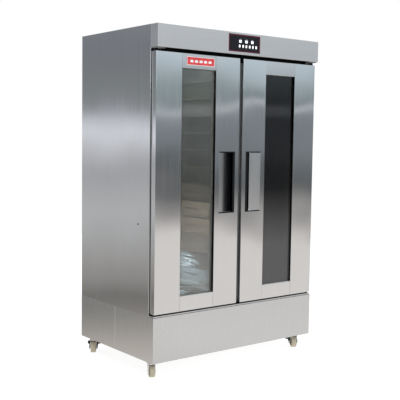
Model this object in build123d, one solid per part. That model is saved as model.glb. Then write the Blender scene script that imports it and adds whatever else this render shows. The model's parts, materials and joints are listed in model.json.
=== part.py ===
from build123d import *
from math import cos, radians, sin
import os

# A two-bay proofing cabinet: an insulated, humid, gently heated box for trays of dough.
# Millimetres. +Z is up, the doors face -Y and +X is to the right of someone facing them.
# The origin is on the floor, at the middle of the cabinet's outline.

# ---- driving dimensions -------------------------------------------------------------
WIDTH = 1060.0
DEPTH = 704.0
HEIGHT = 1694.0
CASTER_H = 82.0
PLINTH_H = 223.0
HEADER_H = 109.4
HEADER_DEPTH = 60.0
SHEET = 1.2
CUT = 1.0
SIDE_WALL = 50.0
REAR_WALL = 38.0
CEILING_Z = 1562.0
CHAMBER_FLOOR_Z = 332.0
CEILING_SLAB_T = 50.0
FRONT_RETURN_W = 12.0
REAR_RETURN_W = 20.0
FRAME_DEPTH = 30.0
JAMB_W = 40.0
MULLION_W = 64.0
SILL_Z = 340.0
HEAD_Z = 1550.0
HEAD_H = 70.0

# ---- doors --------------------------------------------------------------------------
DOOR_SETBACK = 18.0
DOOR_EDGE_INSET = 4.0
DOOR_W = 514.0
DOOR_BOTTOM_Z = 319.5
DOOR_TOP_Z = 1569.0
SKIN_DEPTH = 26.0
PAN_DEPTH = 12.0
PAN_INSET = 1.0
PAN_CHAMFER = 2.5
PAN_WALL = 2.7
STILE_SEAM = 0.4
HINGE_STILE_W = 152.0
WINDOW_W = 207.0
WINDOW_BOTTOM_Z = 395.0
WINDOW_TOP_Z = 1499.0
GLASS_T = 4.0
GLASS_LAP = 8.0
REVEAL = 12.0
PANE_GAP = 16.0
GASKET_W = 13.0
GASKET_T = 3.6
GASKET_INSET = 5.0

# ---- hinges and the strips round the doors ------------------------------------------
PIVOT_INSET = 12.0
PIVOT_SETBACK = 19.0
HINGE_PIN_R = 5.0
BUSHING_R = 6.9
BUSHING_L = 22.0
WASHER_R = 10.0
HINGE_PLATE_W = 50.0
HINGE_PLATE_T = 3.0
RAIL_T = 7.0
RUNNING_CLEARANCE = 0.06
TOUCH_GAP = 0.3
HINGE_MARGIN = 2.0
RAIL_SETBACK = 3.0
PLATE_OVERHANG = 4.0
PIN_END_GAP = 2.0
STRIP_T = 3.0
STRIP_MARGIN = 4.0
STRIP_GAP = 2.0
HEAD_STRIP_X = 524.0
SILL_STRIP_X = 500.0
STOP_W = 24.0
STOP_DEPTH = 11.0

# ---- scoop handles and badge --------------------------------------------------------
HANDLE_EDGE_INSET = 25.0
HANDLE_BAND_W = 13.5
HANDLE_SKIN_LAP = 5.0
SCOOP_MOUTH_W = 87.5
SCOOP_BOTTOM_Z = 796.0
SCOOP_TOP_Z = 1094.0
SCOOP_DEPTH = 27.0
SCOOP_FLOOR_W = 33.0
SCOOP_UNDERCUT = 8.0
SCOOP_END_CHAMFER = 10.0
SCOOP_POCKET_GAP = 2.0
LIP_DEPTH = 5.0
TRIM_H = 6.0
TRIM_PROUD = 1.5
BADGE_W = 170.0
BADGE_H = 41.0
BADGE_T = 1.5
BADGE_CORNER_R = 3.0
BADGE_INSET = 177.5
BADGE_BOTTOM_Z = 1514.0

# ---- tray racks ---------------------------------------------------------------------
RACK_LEVELS = 13
RACK_PITCH = 90.0
RACK_FIRST_Z = 377.0
UPRIGHT_T = 10.0
UPRIGHT_W = 25.0
FRONT_POST_INSET = 35.0
REAR_POST_INSET = 60.0
RUNNER_LEDGE = 29.0
RUNNER_UPSTAND = 14.0
RUNNER_FRONT_Y = -255.0
RUNNER_BACK_Y = 300.0

# ---- control panel ------------------------------------------------------------------
PANEL_W = 209.0
PANEL_H = 86.0
PANEL_T = 3.0
PANEL_SETBACK = 1.0
PANEL_TOP_MARGIN = 10.0
PANEL_CLEARANCE = 0.1
DISPLAY_W = 16.0
DISPLAY_H = 13.0
DISPLAY_Z = 1650.5
DISPLAY_AT = (0.368, 0.558, 0.748)
KEY_W = 9.9
KEY_H = 14.0
KEY_CORNER_R = 3.0
KEY_PROUD = 0.8
KEY_TAIL = 4.8
KEY_FLANGE = 1.5
KEY_FLANGE_T = 1.0
KEY_CLEARANCE = 0.08
KEY_Z = 1627.0
KEY_AT = (0.3445, 0.4535, 0.5555, 0.6635, 0.7655, 0.8705)
BOARD_W = 190.0
BOARD_T = 1.6
BOARD_MARGIN = 8.0
BOARD_SETBACK = 10.0
# Each block on the board: its middle x, height above the panel's foot, width, height, depth.
BOARD_BLOCKS = (
    (-70.0, 16.0, 38.0, 44.0, 30.0),
    (-8.0, 16.0, 16.0, 20.0, 15.0),
    (16.0, 16.0, 16.0, 20.0, 15.0),
    (64.0, 14.0, 48.0, 10.0, 12.0),
)

# ---- base frame and plinth ----------------------------------------------------------
REAR_PLATE_Y = 322.0
PLINTH_SETBACK = 1.0
PLINTH_SEAM_Y = 9.0
PLINTH_SEAM = 1.5
PLINTH_RETURN = 16.0
FRAME_WALL = 2.0
FRAME_INSET = 3.0
PAN_UPSTAND = 30.0
DECK_RIM = 70.0
DECK_FRONT_INSET = 18.0
POST_SIZE = 30.0
GRILLE_COLUMNS = (-180.0, 60.0)
GRILLE_ROWS = 8
GRILLE_PITCH = 17.0
GRILLE_FIRST_Z = 132.0
GRILLE_SLOT_W = 120.0
GRILLE_SLOT_H = 6.0
# A fitting's neck passes through the rear plate and its collar stands against the plate.
FITTINGS = (
    {"x": 330.0, "z": 150.0, "neck_r": 9.0, "collar_r": 13.0, "bore_r": 5.0, "reach": 20.0},
    {"x": 400.0, "z": 150.0, "neck_r": 13.2, "collar_r": 18.0, "bore_r": 8.0, "reach": 24.0},
    {"x": 460.0, "z": 125.0, "neck_r": 10.0, "collar_r": 15.0, "bore_r": 7.0, "reach": 24.0},
)
FITTING_TAIL = 12.0
FITTING_COLLAR_T = 6.0
FITTING_CLEARANCE = 0.2

# ---- the air system inside the plinth -----------------------------------------------
FAN_Y = 26.0
FAN_R = 90.0
FAN_OPENING_R = 105.0
FAN_SLAB_GAP = 5.0
FAN_BLADES = 6
FAN_HUB_R = 16.0
FAN_HUB_Z = (263.0, 291.0)
FAN_SHAFT_R = 5.0
FAN_SHAFT_END = 6.0
BLADE_ROOT_R = 10.0
BLADE_W = 34.0
BLADE_T = 1.6
BLADE_PITCH = 35.0
MOTOR_R = 42.0
MOTOR_H = 95.0
MOTOR_FOOT_Z = 144.0
MOTOR_FOOT_HALF = 65.0
MOTOR_FOOT_T = 3.0
MOTOR_LEG_R = 5.0
MOTOR_LEG_AT = 55.0
GUARD_WIRE_R = 1.5
GUARD_STANDOFF = 6.0
GUARD_RING_RADII = (35.0, 70.0, 109.0)
GUARD_FOOT_R = 3.5
GUARD_FOOT_END = 2.0
DUCT_SLOT_Y = (FAN_Y - 60.0, FAN_Y + 60.0)
DUCT_SLOT_H = 8.0
DUCT_MOUTH_Y = (FAN_Y - 115.0, FAN_Y + 115.0)
DUCT_MOUTH_H = 18.0
WATER_PAN_X = (-440.0, -170.0)
WATER_PAN_Y = (-160.0, 200.0)
WATER_PAN_H = 68.0
WATER_PAN_RIM = 8.0
HEATER_R = 4.0
HAIRPIN_Z = 104.0
HAIRPIN_BEND_R = 50.0
HAIRPIN_ROUTE = ((-390.0, 150.0), (-390.0, -110.0), (-230.0, -110.0), (-230.0, 150.0))
RING_HEATER_GAP = 12.0
RING_HEATER_Z = 285.0

# ---- casters ------------------------------------------------------------------------
CASTER_INSET = 46.0
CASTER_FRONT_Y = -248.0
CASTER_REAR_Y = 298.0
PLATE_SIZE = (70.0, 60.0)
PLATE_T = 3.0
PLATE_BOLT_AT = (26.0, 21.0)
PLATE_HOLE_R = 3.3
BEARING_R = 18.0
BEARING_H = 8.5
KINGPIN_R = 5.0
KINGPIN_HEAD_R = 8.0
KINGPIN_L = 18.0
WHEEL_R = 30.0
WHEEL_W = 26.0
TREAD_ROUNDING = 4.0
HUB_R = 10.0
RIM_W = 8.0
DISH_DEPTH = 4.0
CASTER_TRAIL = 25.0
AXLE_R = 4.0
AXLE_FIT = 0.02
AXLE_HEAD_R = 6.5
AXLE_HEAD_T = 3.0
BRAKE_HEAD_T = 5.5
FORK_T = 2.5
FORK_SIDE_GAP = 1.5
CROWN_R = 22.0
CROWN_Z = (66.0, 69.5)
CROWN_BRIDGE_X = (-8.0, 30.0)
CROWN_BRIDGE_Z = (64.0, 67.0)
RIVET_GAP = 0.5
# One side of the fork, from the crown down to the axle.
LEG_OUTLINE = (
    (-15.0, 66.0),
    (22.0, 66.0),
    (33.0, 60.0),
    (35.0, 26.0),
    (29.0, 20.0),
    (21.0, 20.0),
    (14.0, 27.0),
)
LEG_CORNER_R = 3.0
PEDAL_GAP = 0.5
PEDAL_ARM_T = 4.5
PEDAL_BAR_HALF_W = 34.0
PEDAL_BAR_X = (-24.0, -12.0)
PEDAL_BAR_Z = (36.0, 52.0)
PEDAL_BAR_CORNER_R = 3.0
PEDAL_ARM_CORNER_R = 2.0
# A brake arm from under the axle, round its rear and over to the foot bar.
ARM_OUTLINE = ((14.0, 21.0), (32.0, 21.0), (36.0, 32.0), (29.0, 46.0), (18.0, 62.0), (-8.0, 62.0))
CASTERS = (
    ("front_left", -1, CASTER_FRONT_Y, -112.0, False),
    ("front_right", 1, CASTER_FRONT_Y, -118.0, True),
    ("rear_left", -1, CASTER_REAR_Y, -126.0, True),
    ("rear_right", 1, CASTER_REAR_Y, -60.0, False),
)

# ---- fasteners, each head given by its radius and height ----------------------------
PLATE_BOLT_HEAD = (5.0, 3.5)
GRILLE_SCREW_HEAD = (4.0, 2.5)
GRILLE_SCREW_X = (-500.0, -250.0, 0.0, 250.0, 500.0)
GRILLE_SCREW_MARGIN = 15.0
HINGE_SCREW_HEAD = (3.5, 2.5)
HINGE_SCREW_INSETS = (46.0, 36.0)
HINGE_SCREW_SETBACK = 12.0

# ---- derived places -----------------------------------------------------------------
HALF_W = WIDTH / 2
FRONT_Y = -DEPTH / 2
BACK_Y = DEPTH / 2
BODY_FRONT_Y = FRONT_Y + HEADER_DEPTH
BODY_BOTTOM_Z = CASTER_H + PLINTH_H
HEADER_BOTTOM_Z = HEIGHT - HEADER_H
CHAMBER_FRONT_Y = BODY_FRONT_Y + FRAME_DEPTH
LINER_X = HALF_W - SIDE_WALL
LINER_BACK_Y = BACK_Y - REAR_WALL
PARTITION_X = MULLION_W / 2
DOOR_FRONT_Y = FRONT_Y + DOOR_SETBACK
SKIN_REAR_Y = DOOR_FRONT_Y + SKIN_DEPTH
DOOR_REAR_Y = SKIN_REAR_Y + PAN_DEPTH
DOOR_X = (-HALF_W + DOOR_EDGE_INSET, -HALF_W + DOOR_EDGE_INSET + DOOR_W)
DOOR_Z = (DOOR_BOTTOM_Z, DOOR_TOP_Z)
WINDOW_X = (DOOR_X[0] + HINGE_STILE_W, DOOR_X[0] + HINGE_STILE_W + WINDOW_W)
WINDOW_Z = (WINDOW_BOTTOM_Z, WINDOW_TOP_Z)
BAND_X1 = DOOR_X[1] - HANDLE_EDGE_INSET
MOUTH_X = (BAND_X1 - HANDLE_BAND_W - SCOOP_MOUTH_W, BAND_X1 - HANDLE_BAND_W)
MOUTH_Z = (SCOOP_BOTTOM_Z, SCOOP_TOP_Z)
APERTURE_X = (MOUTH_X[0], BAND_X1 - HANDLE_SKIN_LAP)
SCOOP_WALL_X = BAND_X1 + SCOOP_UNDERCUT
SCOOP_SLOPE_X = SCOOP_WALL_X - SCOOP_FLOOR_W
PIVOT_X = DOOR_X[0] + PIVOT_INSET
PIVOT_Y = DOOR_REAR_Y - PIVOT_SETBACK
RAIL_TOP_Z = BODY_BOTTOM_Z + RAIL_T
HINGE_X = -HALF_W + HINGE_MARGIN
HINGE_PLATE_Z = (HEADER_BOTTOM_Z - HINGE_PLATE_T, HEADER_BOTTOM_Z)
PANEL_Y = FRONT_Y + PANEL_SETBACK
PANEL_Z0 = HEIGHT - PANEL_TOP_MARGIN - PANEL_H
PLINTH_FRONT_Y = DOOR_FRONT_Y + PLINTH_SETBACK
GRILLE_FACE_Y = REAR_PLATE_Y + SHEET
FORK_INNER = WHEEL_W / 2 + FORK_SIDE_GAP
FORK_OUTER = FORK_INNER + FORK_T


# ---- small building tools -----------------------------------------------------------
def block(x, y, z):
    """A box between two corners, each argument a (low, high) pair."""
    size = Box(x[1] - x[0], y[1] - y[0], z[1] - z[0])
    return Pos((x[0] + x[1]) / 2, (y[0] + y[1]) / 2, (z[0] + z[1]) / 2) * size


def rod(x, y, z0, z1, radius):
    """An upright cylinder."""
    return Pos(x, y, (z0 + z1) / 2) * Cylinder(radius, z1 - z0)


def rod_y(x, z, y0, y1, radius):
    """A cylinder that lies front to back."""
    return Pos(x, (y0 + y1) / 2, z) * Rot(90, 0, 0) * Cylinder(radius, y1 - y0)


def grown(pair, by):
    return (pair[0] - by, pair[1] + by)


def mirrored(shape):
    """The same shape on the other side of the cabinet's middle plane."""
    return mirror(shape, about=Plane.YZ)


def box_tube(x, y, z, wall, along):
    """A rectangular tube that is open at both ends of its long axis."""
    inner = [grown(pair, -wall) for pair in (x, y, z)]
    inner["xyz".index(along)] = grown((x, y, z)["xyz".index(along)], 1.0)
    return block(x, y, z) - block(*inner)


def save(name, *solids):
    """Writes one sub-part, as one solid or as a group of separate solids."""
    shape = solids[0] if len(solids) == 1 else Compound(children=list(solids))
    export_step(shape, f"parts/{name}.step")


# ---- cabinet body -------------------------------------------------------------------
def outer_side():
    """Left side sheet with a narrow front return and a wide rear return."""
    x0 = -HALF_W
    z = (BODY_BOTTOM_Z, HEIGHT)
    sheet = block((x0, x0 + SHEET), (BODY_FRONT_Y, BACK_Y), z)
    front_return = block((x0, x0 + FRONT_RETURN_W), (BODY_FRONT_Y, BODY_FRONT_Y + SHEET), z)
    rear_return = block((x0, x0 + REAR_RETURN_W), (BACK_Y - SHEET, BACK_Y), z)
    return sheet + front_return + rear_return


def rear_outer_panel():
    x = grown((-HALF_W, HALF_W), -REAR_RETURN_W)
    return block(x, (BACK_Y - SHEET, BACK_Y), (BODY_BOTTOM_Z, HEIGHT))


def top_outer_panel():
    x = grown((-HALF_W, HALF_W), -SHEET)
    return block(x, (BODY_FRONT_Y + SHEET, BACK_Y - SHEET), (HEIGHT - SHEET, HEIGHT))


def header_fascia():
    """A five-sided tray, open at the back, with the window for the control panel."""
    x = (-HALF_W, HALF_W)
    z = (HEADER_BOTTOM_Z, HEIGHT)
    hollow = block(grown(x, -SHEET), (FRONT_Y + SHEET, BODY_FRONT_Y + CUT), grown(z, -SHEET))
    opening_x = grown((-PANEL_W / 2, PANEL_W / 2), PANEL_CLEARANCE)
    opening_z = grown((PANEL_Z0, PANEL_Z0 + PANEL_H), PANEL_CLEARANCE)
    opening = block(opening_x, grown((FRONT_Y, FRONT_Y + SHEET), CUT), opening_z)
    return block(x, (FRONT_Y, BODY_FRONT_Y), z) - hollow - opening


def insulation_slabs():
    """Two side slabs, a rear slab, a ceiling slab and a floor slab with the fan's opening."""
    side_x = (-HALF_W + SHEET, -LINER_X - SHEET)
    inner_x = grown((-LINER_X, LINER_X), SHEET)
    full_z = (BODY_BOTTOM_Z + SHEET, HEIGHT - SHEET)
    slab_y = (CHAMBER_FRONT_Y, LINER_BACK_Y + SHEET)
    ceiling_z = CEILING_Z + SHEET
    left = block(side_x, (CHAMBER_FRONT_Y, BACK_Y - SHEET), full_z)
    rear = block(inner_x, (LINER_BACK_Y + SHEET, BACK_Y - SHEET), full_z)
    ceiling = block(inner_x, slab_y, (ceiling_z, ceiling_z + CEILING_SLAB_T))
    floor = block(inner_x, slab_y, (BODY_BOTTOM_Z + SHEET, CHAMBER_FLOOR_Z - SHEET))
    floor -= rod(0, FAN_Y, BODY_BOTTOM_Z, CHAMBER_FLOOR_Z, FAN_OPENING_R + FAN_SLAB_GAP)
    return left, mirrored(left), rear, ceiling, floor


def chamber_liner():
    """Side, rear, ceiling and floor sheets, and the two sheets of the centre air duct."""
    side_y = (CHAMBER_FRONT_Y, LINER_BACK_Y + SHEET)
    inner_y = (CHAMBER_FRONT_Y, LINER_BACK_Y)
    span_x = (-LINER_X, LINER_X)
    floor_z = (CHAMBER_FLOOR_Z - SHEET, CHAMBER_FLOOR_Z)
    wall_z = (floor_z[0], CEILING_Z + SHEET)
    side = block((-LINER_X - SHEET, -LINER_X), side_y, wall_z)
    rear = block(span_x, (LINER_BACK_Y, LINER_BACK_Y + SHEET), wall_z)
    ceiling = block(span_x, inner_y, (CEILING_Z, CEILING_Z + SHEET))
    floor = block(span_x, inner_y, floor_z)
    floor -= rod(0, FAN_Y, floor_z[0] - CUT, floor_z[1] + CUT, FAN_OPENING_R)
    partition = centre_partition()
    return side, mirrored(side), rear, ceiling, floor, partition, mirrored(partition)


def centre_partition():
    """One sheet of the centre duct, with a column of air slots over the fan's opening."""
    x = (-PARTITION_X, -PARTITION_X + SHEET)
    through = grown(x, CUT)
    sheet = block(x, (CHAMBER_FRONT_Y, LINER_BACK_Y), (CHAMBER_FLOOR_Z, CEILING_Z))
    sheet -= block(through, DUCT_MOUTH_Y, (CHAMBER_FLOOR_Z - CUT, CHAMBER_FLOOR_Z + DUCT_MOUTH_H))
    for level in range(RACK_LEVELS):
        middle = RACK_FIRST_Z + (level + 0.5) * RACK_PITCH
        sheet -= block(through, DUCT_SLOT_Y, grown((middle, middle), DUCT_SLOT_H / 2))
    return sheet


def door_frame():
    """Two jambs, a head, a sill and the centre mullion, each a folded box section."""
    y = (BODY_FRONT_Y, CHAMBER_FRONT_Y)
    edge = HALF_W - FRONT_RETURN_W
    span_x = grown((-edge, edge), -JAMB_W)
    frame_top = HEAD_Z + HEAD_H
    jamb = box_tube((-edge, -edge + JAMB_W), y, (BODY_BOTTOM_Z, frame_top), SHEET, "z")
    head = box_tube(span_x, y, (HEAD_Z, frame_top), SHEET, "x")
    sill = box_tube(span_x, y, (BODY_BOTTOM_Z, SILL_Z), SHEET, "x")
    mullion = box_tube((-PARTITION_X, PARTITION_X), y, (SILL_Z, HEAD_Z), SHEET, "z")
    return jamb, mirrored(jamb), head, sill, mullion


# ---- tray racks ---------------------------------------------------------------------
def rack_uprights():
    """Four slim posts in each bay, two on the liner side and two on the duct side."""
    posts = []
    for y in (RUNNER_FRONT_Y + FRONT_POST_INSET, RUNNER_BACK_Y - REAR_POST_INSET):
        for x in (-LINER_X, -PARTITION_X - UPRIGHT_T):
            post = block((x, x + UPRIGHT_T), (y, y + UPRIGHT_W), (CHAMBER_FLOOR_Z, CEILING_Z))
            posts += [post, mirrored(post)]
    return posts


def tray_runner(wall_x, towards, z):
    """An angle strip: an upstand on the posts and a ledge that carries a tray's rim."""
    face_x = wall_x + towards * UPRIGHT_T
    y = (RUNNER_FRONT_Y, RUNNER_BACK_Y)
    upstand = block(sorted((face_x, face_x + towards * SHEET)), y, (z, z + RUNNER_UPSTAND))
    ledge = block(sorted((face_x, face_x + towards * RUNNER_LEDGE)), y, (z, z + SHEET))
    return upstand + ledge


def tray_runners():
    runners = []
    for level in range(RACK_LEVELS):
        z = RACK_FIRST_Z + level * RACK_PITCH
        for wall_x, towards in ((-LINER_X, 1), (-PARTITION_X, -1)):
            runner = tray_runner(wall_x, towards, z)
            runners += [runner, mirrored(runner)]
    return runners


# ---- base frame and plinth ----------------------------------------------------------
def base_frame():
    """Welded pan with upstands, four corner posts and the deck that carries the body."""
    x = grown((-HALF_W, HALF_W), -FRAME_INSET)
    y = (PLINTH_FRONT_Y + FRAME_INSET, REAR_PLATE_Y - FRAME_WALL)
    deck_y = (PLINTH_FRONT_Y + DECK_FRONT_INSET, y[1])
    deck_z = (BODY_BOTTOM_Z - FRAME_WALL, BODY_BOTTOM_Z)
    pan = block(x, y, (CASTER_H, CASTER_H + PAN_UPSTAND))
    pan -= block(grown(x, -FRAME_WALL), grown(y, -FRAME_WALL),
                 (CASTER_H + FRAME_WALL, CASTER_H + PAN_UPSTAND + CUT))
    deck = block(x, deck_y, deck_z)
    deck -= block(grown(x, -DECK_RIM), grown(deck_y, -DECK_RIM), grown(deck_z, CUT))
    frame = pan + deck
    for corner_x in (x[0], x[1] - POST_SIZE):
        for corner_y in (deck_y[0], y[1] - POST_SIZE):
            frame += corner_post(corner_x, corner_y)
    return frame


def corner_post(x, y):
    """An angle post that opens towards the cabinet's middle."""
    z = (CASTER_H + FRAME_WALL, BODY_BOTTOM_Z - FRAME_WALL)
    post = block((x, x + POST_SIZE), (y, y + POST_SIZE), z)
    towards_x = FRAME_WALL if x < 0 else -FRAME_WALL
    towards_y = FRAME_WALL if y < 0 else -FRAME_WALL
    open_x = (x + towards_x, x + towards_x + POST_SIZE)
    open_y = (y + towards_y, y + towards_y + POST_SIZE)
    return post - block(open_x, open_y, (CASTER_H, BODY_BOTTOM_Z))


def plinth_panels():
    """The front panel with its top return, and two panels on each side of the cabinet."""
    z = (CASTER_H, BODY_BOTTOM_Z)
    front = block((-HALF_W, HALF_W), (PLINTH_FRONT_Y, PLINTH_FRONT_Y + SHEET), z)
    return_x = grown((-HALF_W, HALF_W), -FRAME_INSET)
    front += block(return_x, (PLINTH_FRONT_Y, PLINTH_FRONT_Y + PLINTH_RETURN), (z[1] - SHEET, z[1]))
    seam = grown((PLINTH_SEAM_Y, PLINTH_SEAM_Y), PLINTH_SEAM / 2)
    panels = [front]
    for y in ((PLINTH_FRONT_Y + SHEET, seam[0]), (seam[1], BACK_Y)):
        side = block((-HALF_W, -HALF_W + SHEET), y, z)
        panels += [side, mirrored(side)]
    return panels


def plinth_rear_grille():
    """Removable rear plate with two columns of vent slots and holes for the fittings."""
    x = grown((-HALF_W, HALF_W), -FRAME_INSET)
    y = (REAR_PLATE_Y, GRILLE_FACE_Y)
    through = grown(y, CUT)
    plate = block(x, y, grown((CASTER_H, BODY_BOTTOM_Z), -FRAME_WALL))
    for column_x in GRILLE_COLUMNS:
        for row in range(GRILLE_ROWS):
            z = GRILLE_FIRST_Z + row * GRILLE_PITCH
            plate -= block((column_x, column_x + GRILLE_SLOT_W), through, (z, z + GRILLE_SLOT_H))
    for fitting in FITTINGS:
        plate -= rod_y(fitting["x"], fitting["z"], *through, fitting["neck_r"] + FITTING_CLEARANCE)
    return plate


def rear_fittings():
    """Mains cable gland, water inlet and drain outlet, each a turned body with a bore."""
    bodies = []
    for fitting in FITTINGS:
        place = (fitting["x"], fitting["z"])
        y = (REAR_PLATE_Y - FITTING_TAIL, GRILLE_FACE_Y + fitting["reach"])
        neck = rod_y(*place, *y, fitting["neck_r"])
        collar = rod_y(*place, GRILLE_FACE_Y, GRILLE_FACE_Y + FITTING_COLLAR_T, fitting["collar_r"])
        bodies.append(neck + collar - rod_y(*place, *grown(y, CUT), fitting["bore_r"]))
    return bodies


# ---- hinges and the strips round the doors ------------------------------------------
def hinge_plates():
    """The rail under the doors with two pins, and two small plates under the header."""
    rail_y = (DOOR_FRONT_Y + RAIL_SETBACK, BODY_FRONT_Y)
    rail = block(grown((-HALF_W, HALF_W), -HINGE_MARGIN), rail_y, (BODY_BOTTOM_Z, RAIL_TOP_Z))
    for x in (PIVOT_X, -PIVOT_X):
        rail += rod(x, PIVOT_Y, RAIL_TOP_Z - CUT, DOOR_BOTTOM_Z + BUSHING_L - PIN_END_GAP, HINGE_PIN_R)
    plate_y = (DOOR_FRONT_Y - PLATE_OVERHANG, BODY_FRONT_Y)
    pin_z = (DOOR_TOP_Z - BUSHING_L + PIN_END_GAP, HINGE_PLATE_Z[0] + CUT)
    upper = block((HINGE_X, HINGE_X + HINGE_PLATE_W), plate_y, HINGE_PLATE_Z)
    upper += rod(PIVOT_X, PIVOT_Y, *pin_z, HINGE_PIN_R)
    return rail, upper, mirrored(upper)


def hinge_washers():
    """Nylon washers round the pins, and a nylon stop block behind each lower hinge."""
    hole_r = HINGE_PIN_R + RUNNING_CLEARANCE
    low = (RAIL_TOP_Z, DOOR_BOTTOM_Z - TOUCH_GAP)
    high = (DOOR_TOP_Z + TOUCH_GAP, HINGE_PLATE_Z[0])
    parts = []
    for z in (low, high):
        washer = rod(PIVOT_X, PIVOT_Y, *z, WASHER_R) - rod(PIVOT_X, PIVOT_Y, *grown(z, CUT), hole_r)
        parts += [washer, mirrored(washer)]
    stop = block((HINGE_X, HINGE_X + STOP_W), (BODY_FRONT_Y - STOP_DEPTH, BODY_FRONT_Y), low)
    return parts + [stop, mirrored(stop)]


def draught_strips():
    """Black strips that close the gaps over and under the doors."""
    head_z = (DOOR_TOP_Z + STRIP_GAP, HINGE_PLATE_Z[0] - TOUCH_GAP)
    head = block((-HEAD_STRIP_X, HEAD_STRIP_X), (BODY_FRONT_Y - STRIP_T, BODY_FRONT_Y), head_z)
    sill_y = (DOOR_FRONT_Y + STRIP_MARGIN, BODY_FRONT_Y - STRIP_MARGIN)
    sill = block((-SILL_STRIP_X, SILL_STRIP_X), sill_y, (RAIL_TOP_Z, RAIL_TOP_Z + STRIP_T))
    return head, sill


# ---- door, modelled for the left bay ------------------------------------------------
def bushing_seats(radius):
    """Upright holes in the door's bottom and top edges, on the pivot axis."""
    low = rod(PIVOT_X, PIVOT_Y, DOOR_BOTTOM_Z - CUT, DOOR_BOTTOM_Z + BUSHING_L, radius)
    high = rod(PIVOT_X, PIVOT_Y, DOOR_TOP_Z - BUSHING_L, DOOR_TOP_Z + CUT, radius)
    return low + high


def door_skin():
    """Two full-height stiles and two short rails, with hairline seams between them."""
    y = (DOOR_FRONT_Y, SKIN_REAR_Y)
    skin = block(DOOR_X, y, DOOR_Z)
    skin -= block(grown(DOOR_X, -SHEET), (y[0] + SHEET, y[1] + CUT), grown(DOOR_Z, -SHEET))
    skin += block(grown(WINDOW_X, SHEET), (y[0], y[0] + REVEAL), grown(WINDOW_Z, SHEET))
    skin -= block(WINDOW_X, grown(y, CUT), WINDOW_Z)
    skin -= block(APERTURE_X, grown((y[0], y[0] + SHEET), CUT), MOUTH_Z)
    skin -= bushing_seats(BUSHING_R)
    reach_y = grown(y, CUT)
    reach_z = grown(DOOR_Z, CUT)
    rail_x = grown(WINDOW_X, -STILE_SEAM / 2)
    stile_x = grown(WINDOW_X, STILE_SEAM / 2)
    hinge_stile = skin & block((DOOR_X[0] - CUT, stile_x[0]), reach_y, reach_z)
    handle_stile = skin & block((stile_x[1], DOOR_X[1] + CUT), reach_y, reach_z)
    top_rail = skin & block(rail_x, reach_y, (WINDOW_TOP_Z - CUT, reach_z[1]))
    bottom_rail = skin & block(rail_x, reach_y, (reach_z[0], WINDOW_BOTTOM_Z + CUT))
    return hinge_stile, handle_stile, top_rail, bottom_rail


def door_inner_pan():
    """The door's rear tray, with its opening behind the window and eased outer edges."""
    x = grown(DOOR_X, -PAN_INSET)
    z = grown(DOOR_Z, -PAN_INSET)
    tray = block(x, (SKIN_REAR_Y, DOOR_REAR_Y), z)
    rear_face = tray.faces().sort_by(Axis.Y)[-1]
    tray = chamfer(rear_face.edges(), PAN_CHAMFER)
    tray -= block(grown(x, -PAN_WALL), (SKIN_REAR_Y - CUT, DOOR_REAR_Y - SHEET), grown(z, -PAN_WALL))
    return tray - block(WINDOW_X, grown((SKIN_REAR_Y, DOOR_REAR_Y), CUT), WINDOW_Z)


def door_core():
    """Foam that fills the door round the glass, the scoop and the hinge bushings."""
    y = (DOOR_FRONT_Y + SHEET, DOOR_REAR_Y - SHEET)
    inset = PAN_INSET + PAN_WALL
    pocket = GLASS_LAP + CUT
    scoop_x = (MOUTH_X[0] - SHEET - SCOOP_POCKET_GAP, DOOR_X[1])
    scoop_y = (y[0] - CUT, DOOR_FRONT_Y + SCOOP_DEPTH + SCOOP_POCKET_GAP)
    core = block(grown(DOOR_X, -inset), y, grown(DOOR_Z, -inset))
    core -= block(grown(WINDOW_X, pocket), grown(y, CUT), grown(WINDOW_Z, pocket))
    core -= block(scoop_x, scoop_y, grown(MOUTH_Z, SCOOP_POCKET_GAP))
    return core - bushing_seats(BUSHING_R + 0.5)


def door_glazing():
    """The outer and the inner pane."""
    outer_y = DOOR_FRONT_Y + REVEAL
    inner_y = outer_y + GLASS_T + PANE_GAP
    x = grown(WINDOW_X, GLASS_LAP)
    z = grown(WINDOW_Z, GLASS_LAP)
    return [block(x, (y, y + GLASS_T), z) for y in (outer_y, inner_y)]


def glass_spacer():
    """The aluminium frame that keeps the two panes apart."""
    y0 = DOOR_FRONT_Y + REVEAL + GLASS_T
    y = (y0, y0 + PANE_GAP)
    ring = block(grown(WINDOW_X, GLASS_LAP), y, grown(WINDOW_Z, GLASS_LAP))
    return ring - block(WINDOW_X, grown(y, CUT), WINDOW_Z)


def door_gasket():
    """A soft ring on the door's rear face, which stops just short of the door frame."""
    x = (PIVOT_X, DOOR_X[1] - GASKET_INSET)
    y = (DOOR_REAR_Y, DOOR_REAR_Y + GASKET_T)
    z = grown(DOOR_Z, -GASKET_INSET)
    return block(x, y, z) - block(grown(x, -GASKET_W), grown(y, CUT), grown(z, -GASKET_W))


def hinge_bushings():
    """The nylon sleeves in the door that turn on the hinge pins."""
    sleeves = []
    bore_r = HINGE_PIN_R + RUNNING_CLEARANCE
    for z in ((DOOR_BOTTOM_Z, DOOR_BOTTOM_Z + BUSHING_L), (DOOR_TOP_Z - BUSHING_L, DOOR_TOP_Z)):
        hole = rod(PIVOT_X, PIVOT_Y, *grown(z, CUT), bore_r)
        sleeves.append(rod(PIVOT_X, PIVOT_Y, *z, BUSHING_R) - hole)
    return sleeves


def door_badge():
    """A small blank plate on the left door's top rail."""
    x0 = DOOR_X[0] + BADGE_INSET
    plate = block((x0, x0 + BADGE_W), (DOOR_FRONT_Y - BADGE_T, DOOR_FRONT_Y),
                  (BADGE_BOTTOM_Z, BADGE_BOTTOM_Z + BADGE_H))
    return fillet(plate.edges().filter_by(Axis.Y), BADGE_CORNER_R)


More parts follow.
